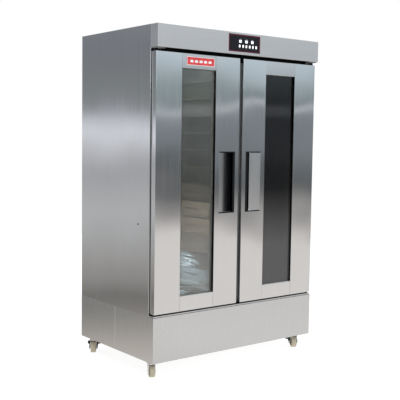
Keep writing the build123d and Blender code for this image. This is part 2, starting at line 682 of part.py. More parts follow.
# ---- scoop handle of the left door --------------------------------------------------
def scoop_plan():
    """The hand space from above: mouth, slope, flat floor and the undercut behind the lip."""
    mouth_y = DOOR_FRONT_Y - TRIM_PROUD - CUT
    lip_y = DOOR_FRONT_Y + LIP_DEPTH
    floor_y = DOOR_FRONT_Y + SCOOP_DEPTH
    points = (
        (MOUTH_X[0], mouth_y),
        (MOUTH_X[0], DOOR_FRONT_Y + SHEET),
        (SCOOP_SLOPE_X, floor_y),
        (SCOOP_WALL_X, floor_y),
        (SCOOP_WALL_X, lip_y),
        (MOUTH_X[1], lip_y),
        (MOUTH_X[1], mouth_y),
    )
    return make_face(Polyline(*points, close=True))


def scoop_profile():
    """The hand space from the side, narrowing towards its floor at both ends."""
    mouth_y = DOOR_FRONT_Y - TRIM_PROUD - CUT
    floor_y = DOOR_FRONT_Y + SCOOP_DEPTH
    floor_z = grown(MOUTH_Z, -SCOOP_END_CHAMFER)
    points = (
        (mouth_y, MOUTH_Z[0]),
        (floor_y - SCOOP_END_CHAMFER, MOUTH_Z[0]),
        (floor_y, floor_z[0]),
        (floor_y, floor_z[1]),
        (floor_y - SCOOP_END_CHAMFER, MOUTH_Z[1]),
        (mouth_y, MOUTH_Z[1]),
    )
    return make_face(Polyline(*points, close=True))


def scoop_solid(plan, profile):
    """The solid that fills both the plan and the profile of the hand space."""
    z = grown(MOUTH_Z, SHEET)
    x = (MOUTH_X[0] - SHEET, SCOOP_WALL_X + SHEET)
    upright = Pos(0, 0, z[0]) * extrude(plan, z[1] - z[0])
    return upright & (Plane.YZ.offset(x[0]) * extrude(profile, x[1] - x[0]))


def scoop_shell():
    """The wall round the hand space, kept behind the door's skin."""
    hollow = scoop_solid(scoop_plan(), scoop_profile())
    plan = offset(scoop_plan(), SHEET, kind=Kind.INTERSECTION)
    profile = offset(scoop_profile(), SHEET, kind=Kind.INTERSECTION)
    reach_x = (MOUTH_X[0] - SHEET, DOOR_X[1])
    behind_skin = block(reach_x, (DOOR_FRONT_Y + SHEET, DOOR_REAR_Y), grown(MOUTH_Z, SHEET))
    return (scoop_solid(plan, profile) - hollow) & behind_skin


def door_handle():
    """The stainless slope of the scoop with its two ends."""
    slope_x = (MOUTH_X[0] - SHEET, SCOOP_SLOPE_X)
    return scoop_shell() & block(slope_x, (DOOR_FRONT_Y, DOOR_REAR_Y), grown(MOUTH_Z, SHEET))


def handle_trim():
    """A black moulding: the band and lip beside the mouth, and the deep part behind them."""
    front_y = (DOOR_FRONT_Y - TRIM_PROUD, DOOR_FRONT_Y)
    lip_y = (DOOR_FRONT_Y + SHEET, DOOR_FRONT_Y + LIP_DEPTH)
    frame = block((MOUTH_X[0], BAND_X1), front_y, grown(MOUTH_Z, TRIM_H))
    frame -= block((MOUTH_X[0] - CUT, MOUTH_X[1]), grown(front_y, CUT), MOUTH_Z)
    neck = block((MOUTH_X[1], APERTURE_X[1]), (front_y[1], lip_y[0]), MOUTH_Z)
    lip = block((MOUTH_X[1], SCOOP_WALL_X + SHEET), lip_y, grown(MOUTH_Z, SHEET))
    deep_x = (SCOOP_SLOPE_X, DOOR_X[1])
    deep_part = scoop_shell() & block(deep_x, (DOOR_FRONT_Y, DOOR_REAR_Y), grown(MOUTH_Z, SHEET))
    return frame + neck + lip + deep_part


# ---- control panel ------------------------------------------------------------------
def panel_x(fraction):
    """A place across the control panel, from 0 at its left edge to 1 at its right."""
    return -PANEL_W / 2 + fraction * PANEL_W


def upright_slab(outline, y):
    """An outline drawn in x and z, given its thickness between two depths."""
    return Plane.XZ.offset(-y[1]) * extrude(outline, y[1] - y[0])


def key_shape(fraction, y, by):
    """An upright rounded oblong at a key's place, larger by a margin all round."""
    outline = RectangleRounded(KEY_W + 2 * by, KEY_H + 2 * by, KEY_CORNER_R + by)
    return upright_slab(Pos(panel_x(fraction), KEY_Z) * outline, y)


def display_shape(fraction, y, by):
    x = panel_x(fraction)
    half_w = DISPLAY_W / 2 + by
    half_h = DISPLAY_H / 2 + by
    return block((x - half_w, x + half_w), y, (DISPLAY_Z - half_h, DISPLAY_Z + half_h))


def control_bezel():
    y = (PANEL_Y, PANEL_Y + PANEL_T)
    bezel = block((-PANEL_W / 2, PANEL_W / 2), y, (PANEL_Z0, PANEL_Z0 + PANEL_H))
    for fraction in KEY_AT:
        bezel -= key_shape(fraction, grown(y, CUT), KEY_CLEARANCE)
    for fraction in DISPLAY_AT:
        bezel -= display_shape(fraction, grown(y, CUT), PANEL_CLEARANCE)
    return bezel


def display_windows():
    y = (PANEL_Y - 0.2, PANEL_Y + PANEL_T)
    return [display_shape(fraction, y, 0.0) for fraction in DISPLAY_AT]


def key(fraction):
    """A push key with a retaining flange behind the bezel."""
    flange_y = PANEL_Y + PANEL_T + 0.2
    cap = key_shape(fraction, (PANEL_Y - KEY_PROUD, flange_y + KEY_TAIL), 0.0)
    return cap + key_shape(fraction, (flange_y, flange_y + KEY_FLANGE_T), KEY_FLANGE)


def control_board():
    """The circuit board with its transformer, two relays and a terminal block."""
    y = (PANEL_Y + BOARD_SETBACK, PANEL_Y + BOARD_SETBACK + BOARD_T)
    board = block((-BOARD_W / 2, BOARD_W / 2), y, grown((PANEL_Z0, PANEL_Z0 + PANEL_H), -BOARD_MARGIN))
    for x, z, width, height, depth in BOARD_BLOCKS:
        block_z = (PANEL_Z0 + z, PANEL_Z0 + z + height)
        board += block(grown((x, x), width / 2), (y[0], y[1] + depth), block_z)
    return board


# ---- heat, humidity and air ---------------------------------------------------------
def water_pan():
    """An open tray on the base frame that holds the water to be evaporated."""
    z = (CASTER_H + FRAME_WALL, CASTER_H + FRAME_WALL + WATER_PAN_H)
    pan = block(WATER_PAN_X, WATER_PAN_Y, z)
    rim_z = (z[1] - SHEET, z[1])
    inside_z = (z[0] + SHEET, z[1] + CUT)
    pan += block(grown(WATER_PAN_X, WATER_PAN_RIM), grown(WATER_PAN_Y, WATER_PAN_RIM), rim_z)
    return pan - block(grown(WATER_PAN_X, -SHEET), grown(WATER_PAN_Y, -SHEET), inside_z)


def heating_elements():
    """A hairpin tube in the water pan and a ring tube round the fan."""
    route = FilletPolyline(*[(x, y, HAIRPIN_Z) for x, y in HAIRPIN_ROUTE], radius=HAIRPIN_BEND_R)
    section = Plane(origin=route @ 0, z_dir=route % 0) * Circle(HEATER_R)
    ring = Pos(0, FAN_Y, RING_HEATER_Z) * Torus(FAN_OPENING_R + RING_HEATER_GAP, HEATER_R)
    return sweep(section, route), ring


def fan_motor():
    """The motor on its foot plate and four legs, with its shaft upwards."""
    top_z = MOTOR_FOOT_Z + MOTOR_H
    foot_y = grown((FAN_Y, FAN_Y), MOTOR_FOOT_HALF)
    motor = rod(0, FAN_Y, MOTOR_FOOT_Z, top_z, MOTOR_R)
    foot_z = (MOTOR_FOOT_Z, MOTOR_FOOT_Z + MOTOR_FOOT_T)
    motor += rod(0, FAN_Y, top_z - CUT, FAN_HUB_Z[1] + FAN_SHAFT_END, FAN_SHAFT_R)
    motor += block((-MOTOR_FOOT_HALF, MOTOR_FOOT_HALF), foot_y, foot_z)
    for x in (-MOTOR_LEG_AT, MOTOR_LEG_AT):
        for y in (FAN_Y - MOTOR_LEG_AT, FAN_Y + MOTOR_LEG_AT):
            motor += rod(x, y, CASTER_H + FRAME_WALL, MOTOR_FOOT_Z + CUT, MOTOR_LEG_R)
    return motor


def fan_wheel():
    """A hub with pitched blades that turns on the motor's shaft."""
    wheel = rod(0, FAN_Y, *FAN_HUB_Z, FAN_HUB_R)
    blade = Box(FAN_R - BLADE_ROOT_R, BLADE_W, BLADE_T)
    pitched = Pos((FAN_R + BLADE_ROOT_R) / 2, 0, 0) * Rot(BLADE_PITCH, 0, 0) * blade
    for number in range(FAN_BLADES):
        wheel += Pos(0, FAN_Y, sum(FAN_HUB_Z) / 2) * Rot(0, 0, number * 360.0 / FAN_BLADES) * pitched
    return wheel - rod(0, FAN_Y, *grown(FAN_HUB_Z, CUT), FAN_SHAFT_R + RUNNING_CLEARANCE)


def fan_guard():
    """A flat wire grille on six short feet over the opening in the chamber floor."""
    centre = Pos(0, FAN_Y, CHAMBER_FLOOR_Z + GUARD_STANDOFF)
    outer_r = GUARD_RING_RADII[-1]
    foot_z = (CHAMBER_FLOOR_Z, CHAMBER_FLOOR_Z + GUARD_STANDOFF + GUARD_FOOT_END)
    guard = centre * Torus(outer_r, GUARD_WIRE_R)
    for radius in GUARD_RING_RADII[:-1]:
        guard += centre * Torus(radius, GUARD_WIRE_R)
    for spoke in range(3):
        angle = spoke * 60.0
        guard += centre * Rot(0, 0, angle) * Rot(0, 90, 0) * Cylinder(GUARD_WIRE_R, 2 * outer_r)
        for reach in (-outer_r, outer_r):
            foot_x = reach * cos(radians(angle))
            foot_y = FAN_Y + reach * sin(radians(angle))
            guard += rod(foot_x, foot_y, *foot_z, GUARD_FOOT_R)
    return guard


# ---- casters, modelled with the swivel axis at x = 0 and the trail along +X ----------
def caster_plate():
    """Mounting plate with its bearing disc and the kingpin, which has a riveted end."""
    plate_z = (CASTER_H - PLATE_T, CASTER_H)
    pin_z = (plate_z[0] - KINGPIN_L, plate_z[0])
    plate = block(*[grown((0.0, 0.0), size / 2) for size in PLATE_SIZE], plate_z)
    for x in (-PLATE_BOLT_AT[0], PLATE_BOLT_AT[0]):
        for y in (-PLATE_BOLT_AT[1], PLATE_BOLT_AT[1]):
            plate -= rod(x, y, *grown(plate_z, CUT), PLATE_HOLE_R)
    disc = rod(0, 0, plate_z[0] - BEARING_H, plate_z[0], BEARING_R)
    rivet = rod(0, 0, pin_z[0], CROWN_Z[0] - 1.0, KINGPIN_HEAD_R)
    return plate + disc + rod(0, 0, *pin_z, KINGPIN_R) + rivet


def fork_leg_outline():
    """A leg from the side, with its four lower corners rounded."""
    leg = make_face(Polyline(*LEG_OUTLINE, close=True))
    return fillet(leg.vertices().sort_by(Axis.Y)[:4], LEG_CORNER_R)


def caster_fork(with_brake):
    """The crown and its two legs, and the axle bolt, whose heads also carry a brake lever."""
    crown = rod(0, 0, *CROWN_Z, CROWN_R)
    crown += block(CROWN_BRIDGE_X, (-FORK_OUTER, FORK_OUTER), CROWN_BRIDGE_Z)
    leg = upright_slab(fork_leg_outline(), (FORK_INNER, FORK_OUTER))
    fork = crown + leg + mirror(leg, about=Plane.XZ)
    fork -= rod(0, 0, *grown(CROWN_Z, KINGPIN_L), KINGPIN_R + RUNNING_CLEARANCE)
    fork -= rod(0, 0, CROWN_Z[0] - KINGPIN_L, CROWN_Z[0] - RIVET_GAP, KINGPIN_HEAD_R + CUT)
    fork -= rod_y(CASTER_TRAIL, WHEEL_R, *grown((0.0, 0.0), FORK_OUTER + CUT), AXLE_R + AXLE_FIT)
    head_t = BRAKE_HEAD_T if with_brake else AXLE_HEAD_T
    axle = rod_y(CASTER_TRAIL, WHEEL_R, *grown((0.0, 0.0), FORK_OUTER + CUT), AXLE_R)
    for y in ((FORK_OUTER, FORK_OUTER + head_t), (-FORK_OUTER - head_t, -FORK_OUTER)):
        axle += rod_y(CASTER_TRAIL, WHEEL_R, *y, AXLE_HEAD_R)
    return fork, axle


def caster_wheel():
    """A one-piece nylon wheel with a rounded tread, dished sides and a bore."""
    half = WHEEL_W / 2
    wheel = fillet(rod_y(CASTER_TRAIL, WHEEL_R, -half, half, WHEEL_R).edges(), TREAD_ROUNDING)
    for y in ((half - DISH_DEPTH, half + CUT), (-half - CUT, DISH_DEPTH - half)):
        dish = rod_y(CASTER_TRAIL, WHEEL_R, *y, WHEEL_R - RIM_W)
        wheel -= dish - rod_y(CASTER_TRAIL, WHEEL_R, *grown(y, CUT), HUB_R)
    return wheel - rod_y(CASTER_TRAIL, WHEEL_R, *grown((-half, half), CUT), AXLE_R + RUNNING_CLEARANCE)


def pedal_arm_outline():
    """A brake arm from the side, ending round the foot bar."""
    front, rear = PEDAL_BAR_X
    low, high = PEDAL_BAR_Z
    arm = make_face(Polyline(*ARM_OUTLINE, (front, high), (front, low), (rear, low), close=True))
    return fillet(arm.vertices(), PEDAL_ARM_CORNER_R)


def brake_pedal():
    """Two arms that turn on the axle bolt's heads, joined by a wide foot bar."""
    inner = FORK_OUTER + PEDAL_GAP
    arm = upright_slab(pedal_arm_outline(), (inner, inner + PEDAL_ARM_T))
    bar = block(PEDAL_BAR_X, (-PEDAL_BAR_HALF_W, PEDAL_BAR_HALF_W), PEDAL_BAR_Z)
    bar = fillet(bar.edges().filter_by(Axis.Y), PEDAL_BAR_CORNER_R)
    pedal = arm + mirror(arm, about=Plane.XZ) + bar
    reach = grown((0.0, 0.0), PEDAL_BAR_HALF_W)
    return pedal - rod_y(CASTER_TRAIL, WHEEL_R, *reach, AXLE_HEAD_R + RUNNING_CLEARANCE)


def caster_location(side, y, angle):
    return Pos(side * (HALF_W - CASTER_INSET), y, 0) * Rot(0, 0, angle)


# ---- fasteners ----------------------------------------------------------------------
def fasteners():
    """Caster bolts under the plates, screws on the rear grille and under the header."""
    heads = []
    bolt_r, bolt_h = PLATE_BOLT_HEAD
    bolt_z = (CASTER_H - PLATE_T - bolt_h, CASTER_H - PLATE_T)
    for _, side, y, _, _ in CASTERS:
        for dx in (-PLATE_BOLT_AT[0], PLATE_BOLT_AT[0]):
            for dy in (-PLATE_BOLT_AT[1], PLATE_BOLT_AT[1]):
                heads.append(rod(side * (HALF_W - CASTER_INSET) + dx, y + dy, *bolt_z, bolt_r))
    screw_r, screw_h = GRILLE_SCREW_HEAD
    for x in GRILLE_SCREW_X:
        for z in (CASTER_H + GRILLE_SCREW_MARGIN, BODY_BOTTOM_Z - GRILLE_SCREW_MARGIN):
            heads.append(rod_y(x, z, GRILLE_FACE_Y, GRILLE_FACE_Y + screw_h, screw_r))
    screw_r, screw_h = HINGE_SCREW_HEAD
    screw_z = (HINGE_PLATE_Z[0] - screw_h, HINGE_PLATE_Z[0])
    for side in (-1, 1):
        for inset in HINGE_SCREW_INSETS:
            x = side * (HALF_W - inset)
            heads.append(rod(x, BODY_FRONT_Y - HINGE_SCREW_SETBACK, *screw_z, screw_r))
    return heads


# ---- writing the sub-parts ----------------------------------------------------------
def save_pair(name, *shapes):
    """Writes the left and the mirrored right version of a part."""
    save(f"left_{name}", *shapes)
    save(f"right_{name}", *[mirrored(shape) for shape in shapes])


def save_body():
    save_pair("outer_side", outer_side())
    save("rear_outer_panel", rear_outer_panel())
    save("top_outer_panel", top_outer_panel())
    save("header_fascia", header_fascia())
    save("insulation_slabs", *insulation_slabs())
    save("chamber_liner", *chamber_liner())
    save("door_frame", *door_frame())
    save("tray_racks", *rack_uprights(), *tray_runners())
    save("base_frame", base_frame())
    save("plinth_panels", *plinth_panels())
    save("plinth_rear_grille", plinth_rear_grille())
    save("rear_fittings", *rear_fittings())
    save("hinge_plates", *hinge_plates())
    save("washers_and_strips", *hinge_washers(), *draught_strips())
    save("fasteners", *fasteners())


def save_air_system():
    save("water_pan", water_pan())
    save("heating_elements", *heating_elements())
    save("fan_motor", fan_motor())
    save("fan_wheel", fan_wheel())
    save("fan_guard", fan_guard())


def save_controls():
    save("control_bezel", control_bezel())
    save("display_windows", *display_windows())
    save("control_board", control_board())
    for number, fraction in enumerate(KEY_AT, start=1):
        save(f"key_{number}", key(fraction))


def save_doors():
    save_pair("door_skin", *door_skin())
    save_pair("door_inner_pan", door_inner_pan())
    save_pair("door_core", door_core())
    save_pair("door_glazing", *door_glazing())
    save_pair("door_glass_spacer", glass_spacer())
    save_pair("door_gasket", door_gasket())
    save_pair("door_handle", door_handle())
    save_pair("door_handle_trim", handle_trim())
    save_pair("door_hinge_bushings", *hinge_bushings())
    save("door_badge", door_badge())


def save_casters():
    plates = []
    for name, side, y, angle, with_brake in CASTERS:
        place = caster_location(side, y, angle)
        plates.append(Pos(side * (HALF_W - CASTER_INSET), y, 0) * caster_plate())
        save(f"{name}_fork", *[place * piece for piece in caster_fork(with_brake)])
        save(f"{name}_wheel", place * caster_wheel())
        if with_brake:
            save(f"{name}_brake_pedal", place * brake_pedal())
    save("caster_plates", *plates)


os.makedirs("parts", exist_ok=True)
save_body()
save_air_system()
save_controls()
save_doors()
save_casters()
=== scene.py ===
import json
from math import cos, pi, radians, sin

import bmesh
import bpy
from mathutils import Matrix, Vector


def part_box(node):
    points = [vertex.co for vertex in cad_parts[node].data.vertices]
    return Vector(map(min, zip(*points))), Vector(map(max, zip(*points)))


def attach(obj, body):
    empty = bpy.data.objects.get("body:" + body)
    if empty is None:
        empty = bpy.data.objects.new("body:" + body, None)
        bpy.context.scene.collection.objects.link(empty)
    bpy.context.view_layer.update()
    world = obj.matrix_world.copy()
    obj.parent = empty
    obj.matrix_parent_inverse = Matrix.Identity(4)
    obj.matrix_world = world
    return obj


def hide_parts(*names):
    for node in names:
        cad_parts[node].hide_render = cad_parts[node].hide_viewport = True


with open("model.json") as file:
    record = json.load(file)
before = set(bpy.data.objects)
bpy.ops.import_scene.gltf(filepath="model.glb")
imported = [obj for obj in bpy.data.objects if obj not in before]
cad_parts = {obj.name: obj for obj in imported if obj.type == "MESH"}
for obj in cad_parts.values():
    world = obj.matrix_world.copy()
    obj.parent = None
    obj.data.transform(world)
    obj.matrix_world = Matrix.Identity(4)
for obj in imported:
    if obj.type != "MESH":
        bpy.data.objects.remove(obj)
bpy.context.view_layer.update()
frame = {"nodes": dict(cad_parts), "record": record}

# ---- driving dimensions, metres and degrees -----------------------------------------
CAMERA_AT = (-2.6268, -3.3643, 1.1656)
CAMERA_YAW = 38.02
CAMERA_PITCH = -4.513
CAMERA_ROLL = 0.785
CAMERA_FOCAL_MM = 70.63
CAMERA_SENSOR_MM = 36.0
FLOOR_RADIUS = 5.2

# How far the edges of each kind of piece are rounded.
FOLD_RADIUS = 0.0016
PLATE_EDGE = 0.0008
TRIM_EDGE = 0.001
BEZEL_EDGE = 0.0005
FINE_EDGE = 0.0004
STRIP_EDGE = 0.0002
HEAD_EDGE = 0.0001
EASE_STEPS = 2

# The print on the control panel and the badge stands proud by PRINT_T.
KEY_COUNT = 6
PRINT_T = 0.00015
OUTLINE_INSET = 0.0022
OUTLINE_W = 0.0032
OUTLINE_CORNER_R = 0.003
DISPLAY_MARK = (0.009, 0.0026)
DISPLAY_MARK_RISE = 0.0105
DISPLAY_MARK_CORNER_R = 0.0006
KEY_MARK = (0.0034, 0.0012)
KEY_MARK_DROP = 0.0105
KEY_MARK_CORNER_R = 0.0004
MARK_CORNER_STEPS = 3
DIGIT_SIZE = (0.0036, 0.0074)
DIGIT_PITCH = 0.0062
DIGIT_STROKE = 0.0008
STROKE_GAP = 0.4 * DIGIT_STROKE
STROKE_CORNER_R = 0.35 * DIGIT_STROKE
STROKE_CORNER_STEPS = 2

BADGE_T = 0.0011
BADGE_CORNER_R = 0.003
BADGE_BORDER_W = 0.0022
LOAF_SIZE = (0.020, 0.014)
LOAF_COUNT = 5
LOAF_PITCH = 0.028
LOAF_CROWN_STEPS = 14
# In shares of a loaf's size: how far its crown is lowered, and how far out its foot reaches.
LOAF_CROWN_DROP = 0.1
LOAF_FOOT_SHARE = 0.42

# The upright seam in the side of the plinth, and the plug in each outer side, at (y, z).
SEAM_Y = 0.009
SEAM_STRIP_W = 0.0022
SEAM_STRIP_DEPTH = 0.002
SEAM_STRIP_PROUD = 0.0004
PLUG_AT = (-0.197, 0.745)
PLUG_R = 0.0048
PLUG_PROUD = 0.0012
PLUG_STEPS = 6
ROUND_STEPS = 24

# How much slower brushed steel changes along its grain, and how fine the grain of plastics is.
GRAIN_STRETCH = 0.02
COARSE_GRAIN = 1600.0
FINE_GRAIN = 2400.0

# A pane's film grows from the first height of the foot pair below down to the second, as much as its foot
# share: painted light that makes the foot lighter.
GLASS_MIRROR_IOR = 1.5
PAINTED_FOOT_HEIGHTS = (0.90, 0.62)

# The painted shade along the top of the frame behind the doors reaches this far below their top edge.
PAINTED_SHADE_LAP = 0.02

# A screw head, in shares of its radius or height: its straight rim, the flat top left by the dome,
# and the round socket with its slightly wider lip.
HEAD_RIM_SHARE = 0.45
HEAD_FLAT_SHARE = 0.62
HEAD_DOME_STEPS = 5
SOCKET_SHARE = 0.5
SOCKET_DEPTH_SHARE = 0.55
SOCKET_LIP = 1.1
SOCKET_LIP_LEVEL = 0.98

# Vertices this close are one; faces that meet flatter than FLAT_ANGLE are one; edges sharper than
# SHARP_ANGLE are rounded, by at most a share of the narrower face beside them.
WELD_GAP = 1e-6
NO_LENGTH = 1e-9
FLAT_ANGLE = radians(1.0)
SHARP_ANGLE = radians(35)
EDGE_ROOM_SHARE = 0.3
# How much of a face's normal points a way when it faces that way, and when it is edge-on to it.
FACING = 0.5
EDGE_ON = 0.3

# Each segment of a digit: its middle across and up, in half sizes, and whether it lies level.
SEGMENTS = {
    "a": (0.0, 1.0, True),
    "b": (1.0, 0.5, False),
    "c": (1.0, -0.5, False),
    "d": (0.0, -1.0, True),
    "e": (-1.0, -0.5, False),
    "f": (-1.0, 0.5, False),
    "g": (0.0, 0.0, True),
}
DIGITS = {"0": "abcdef", "3": "abcdg", "4": "bcfg", "5": "acdfg", "8": "abcdefg"}
READINGS = ("38", "80", "45")


# ---- mesh tools ---------------------------------------------------------------------
def new_object(name, mesh):
    obj = bpy.data.objects.new(name, mesh)
    bpy.context.scene.collection.objects.link(obj)
    return obj


def built(name, build):
    """An object whose geometry the function build adds to an empty bmesh."""
    bm = bmesh.new()
    build(bm)
    bmesh.ops.recalc_face_normals(bm, faces=bm.faces)
    mesh = bpy.data.meshes.new(name)
    bm.to_mesh(mesh)
    bm.free()
    return new_object(name, mesh)


def band(bm, first, second):
    """Joins two rings of as many vertices with a closed band of faces."""
    for index, vertex in enumerate(first):
        after = (index + 1) % len(first)
        bm.faces.new((vertex, first[after], second[after], second[index]))


def slab(bm, outline, back, front):
    """Adds a plate whose outline lies in X and Z, and whose thickness runs along Y."""
    rings = [[bm.verts.new((x, y, z)) for x, z in outline] for y in (back, front)]
    bm.faces.new(rings[0])
    bm.faces.new(rings[1])
    band(bm, *rings)


def ring_slab(bm, outer, inner, back, front):
    """Adds a flat ring between two outlines that have as many points."""
    outer_back = [bm.verts.new((x, back, z)) for x, z in outer]
    outer_front = [bm.verts.new((x, front, z)) for x, z in outer]
    inner_back = [bm.verts.new((x, back, z)) for x, z in inner]
    inner_front = [bm.verts.new((x, front, z)) for x, z in inner]
    band(bm, outer_back, outer_front)
    band(bm, inner_back, inner_front)
    band(bm, outer_back, inner_back)
    band(bm, outer_front, inner_front)


def rounded_outline(middle, size, radius, steps=6):
    """An oblong with round corners, as a list of points anticlockwise from its top right."""
    half_w = size[0] / 2 - radius
    half_h = size[1] / 2 - radius
    points = []
    for quarter, (side, level) in enumerate(((1, 1), (-1, 1), (-1, -1), (1, -1))):
        for step in range(steps + 1):
            angle = (quarter + step / steps) * pi / 2
            x = middle[0] + side * half_w + radius * cos(angle)
            z = middle[1] + level * half_h + radius * sin(angle)
            points.append((x, z))
    return points


def lathe(bm, base, axis, profile, steps=32):
    """Adds a turned shape: the profile gives radius and height along the axis from its base."""
    axis = Vector(axis).normalized()
    across = axis.orthogonal().normalized()
    beside = axis.cross(across)
    rings = []
    for radius, height in profile:
        middle = Vector(base) + axis * height
        turns = [2 * pi * step / steps for step in range(steps)]
        rings.append([bm.verts.new(middle + (across * cos(t) + beside * sin(t)) * radius) for t in turns])
    for first, second in zip(rings, rings[1:]):
        band(bm, first, second)
    bm.faces.new(rings[0])
    bm.faces.new(rings[-1])


def strip_width(face):
    """How wide a face is, taken as a long strip: twice its area over its perimeter."""
    return 2 * face.calc_area() / max(face.calc_perimeter(), NO_LENGTH)


def weight_sharp_edges(bm, width):
    """Gives each sharp convex edge a bevel weight that its two faces have room for."""
    layer = bm.edges.layers.float.new("bevel_weight_edge")
    for edge in bm.edges:
        if len(edge.link_faces) != 2 or edge.calc_face_angle_signed(0.0) < SHARP_ANGLE:
            continue
        room = EDGE_ROOM_SHARE * min(strip_width(face) for face in edge.link_faces)
        edge[layer] = min(1.0, room / width)


def ease_edges(obj, width):
    """Rounds an object's weighted edges and keeps its large flat faces flat."""
    bevel = obj.modifiers.new("ease", "BEVEL")
    bevel.limit_method = "WEIGHT"
    bevel.width = width
    bevel.segments = EASE_STEPS
    bevel.use_clamp_overlap = False
    bevel.miter_outer = "MITER_ARC"
    normals = obj.modifiers.new("normals", "WEIGHTED_NORMAL")
    normals.keep_sharp = True
    for polygon in obj.data.polygons:
        polygon.use_smooth = True
    graph = bpy.context.evaluated_depsgraph_get()
    made = bpy.data.meshes.new_from_object(obj.evaluated_get(graph), depsgraph=graph)
    obj.modifiers.clear()
    obj.data = made
    return obj


def softened(name, build, width):
    """A new piece from the function build, with its sharp edges rounded."""
    def build_weighted(bm):
        build(bm)
        bmesh.ops.recalc_face_normals(bm, faces=bm.faces)
        weight_sharp_edges(bm, width)

    return ease_edges(built(name, build_weighted), width)


def eased(node, material, width=FOLD_RADIUS):
    """A CAD node's own shape with rounded corners, which stands for the node."""
    def rounded_copy(bm):
        bm.from_mesh(frame["nodes"][node].data)
        bmesh.ops.remove_doubles(bm, verts=bm.verts, dist=WELD_GAP)
        touching = [edge for edge in bm.edges if len(edge.link_faces) > 2]
        bmesh.ops.split_edges(bm, edges=touching)
        bmesh.ops.dissolve_limit(bm, angle_limit=FLAT_ANGLE, verts=bm.verts, edges=bm.edges)
        weight_sharp_edges(bm, width)

    obj = ease_edges(built(node + "_eased", rounded_copy), width)
    return stand_for(obj, material, node)


def loose_boxes(node):
    """The box of each separate solid in a CAD node, as (low, high) corners."""
    bm = bmesh.new()
    bm.from_mesh(frame["nodes"][node].data)
    bmesh.ops.remove_doubles(bm, verts=bm.verts, dist=WELD_GAP)
    waiting = set(bm.verts)
    boxes = []
    while waiting:
        reached = [waiting.pop()]
        for vertex in reached:
            for edge in vertex.link_edges:
                other = edge.other_vert(vertex)
                if other in waiting:
                    waiting.remove(other)
                    reached.append(other)
        points = [vertex.co for vertex in reached]
        low = Vector(min(point[axis] for point in points) for axis in range(3))
        high = Vector(max(point[axis] for point in points) for axis in range(3))
        boxes.append((low, high))
    bm.free()
    return sorted(boxes, key=lambda corners: tuple(round(value, 4) for value in corners[0]))


# ---- dressing tools -----------------------------------------------------------------
def paint(obj, material):
    """Gives an object one material all over."""
    obj.data.materials.clear()
    obj.data.materials.append(material)
    return obj


def paint_node(node, material):
    return paint(frame["nodes"][node], material)


def repaint_faces(obj, material, chosen):
    """Gives the faces for which chosen is true a further material."""
    obj.data.materials.append(material)
    index = len(obj.data.materials) - 1
    for polygon in obj.data.polygons:
        if chosen(polygon):
            polygon.material_index = index


def body_of(node):
    """The body that a CAD node belongs to, or None."""
    for body, members in frame["record"]["behaviour"]["bodies"].items():
        if node in members:
            return body
    return None


def attach_beside(obj, material, node):
    """Paints a new piece, and lets it ride on a CAD node's body."""
    paint(obj, material)
    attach(obj, body_of(node))
    return obj


def stand_for(obj, material, node):
    """Paints a new piece that is shown in place of a CAD node."""
    attach_beside(obj, material, node)
    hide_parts(node)
    return obj


def centre(node):
    low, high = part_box(node)
    return (low + high) / 2


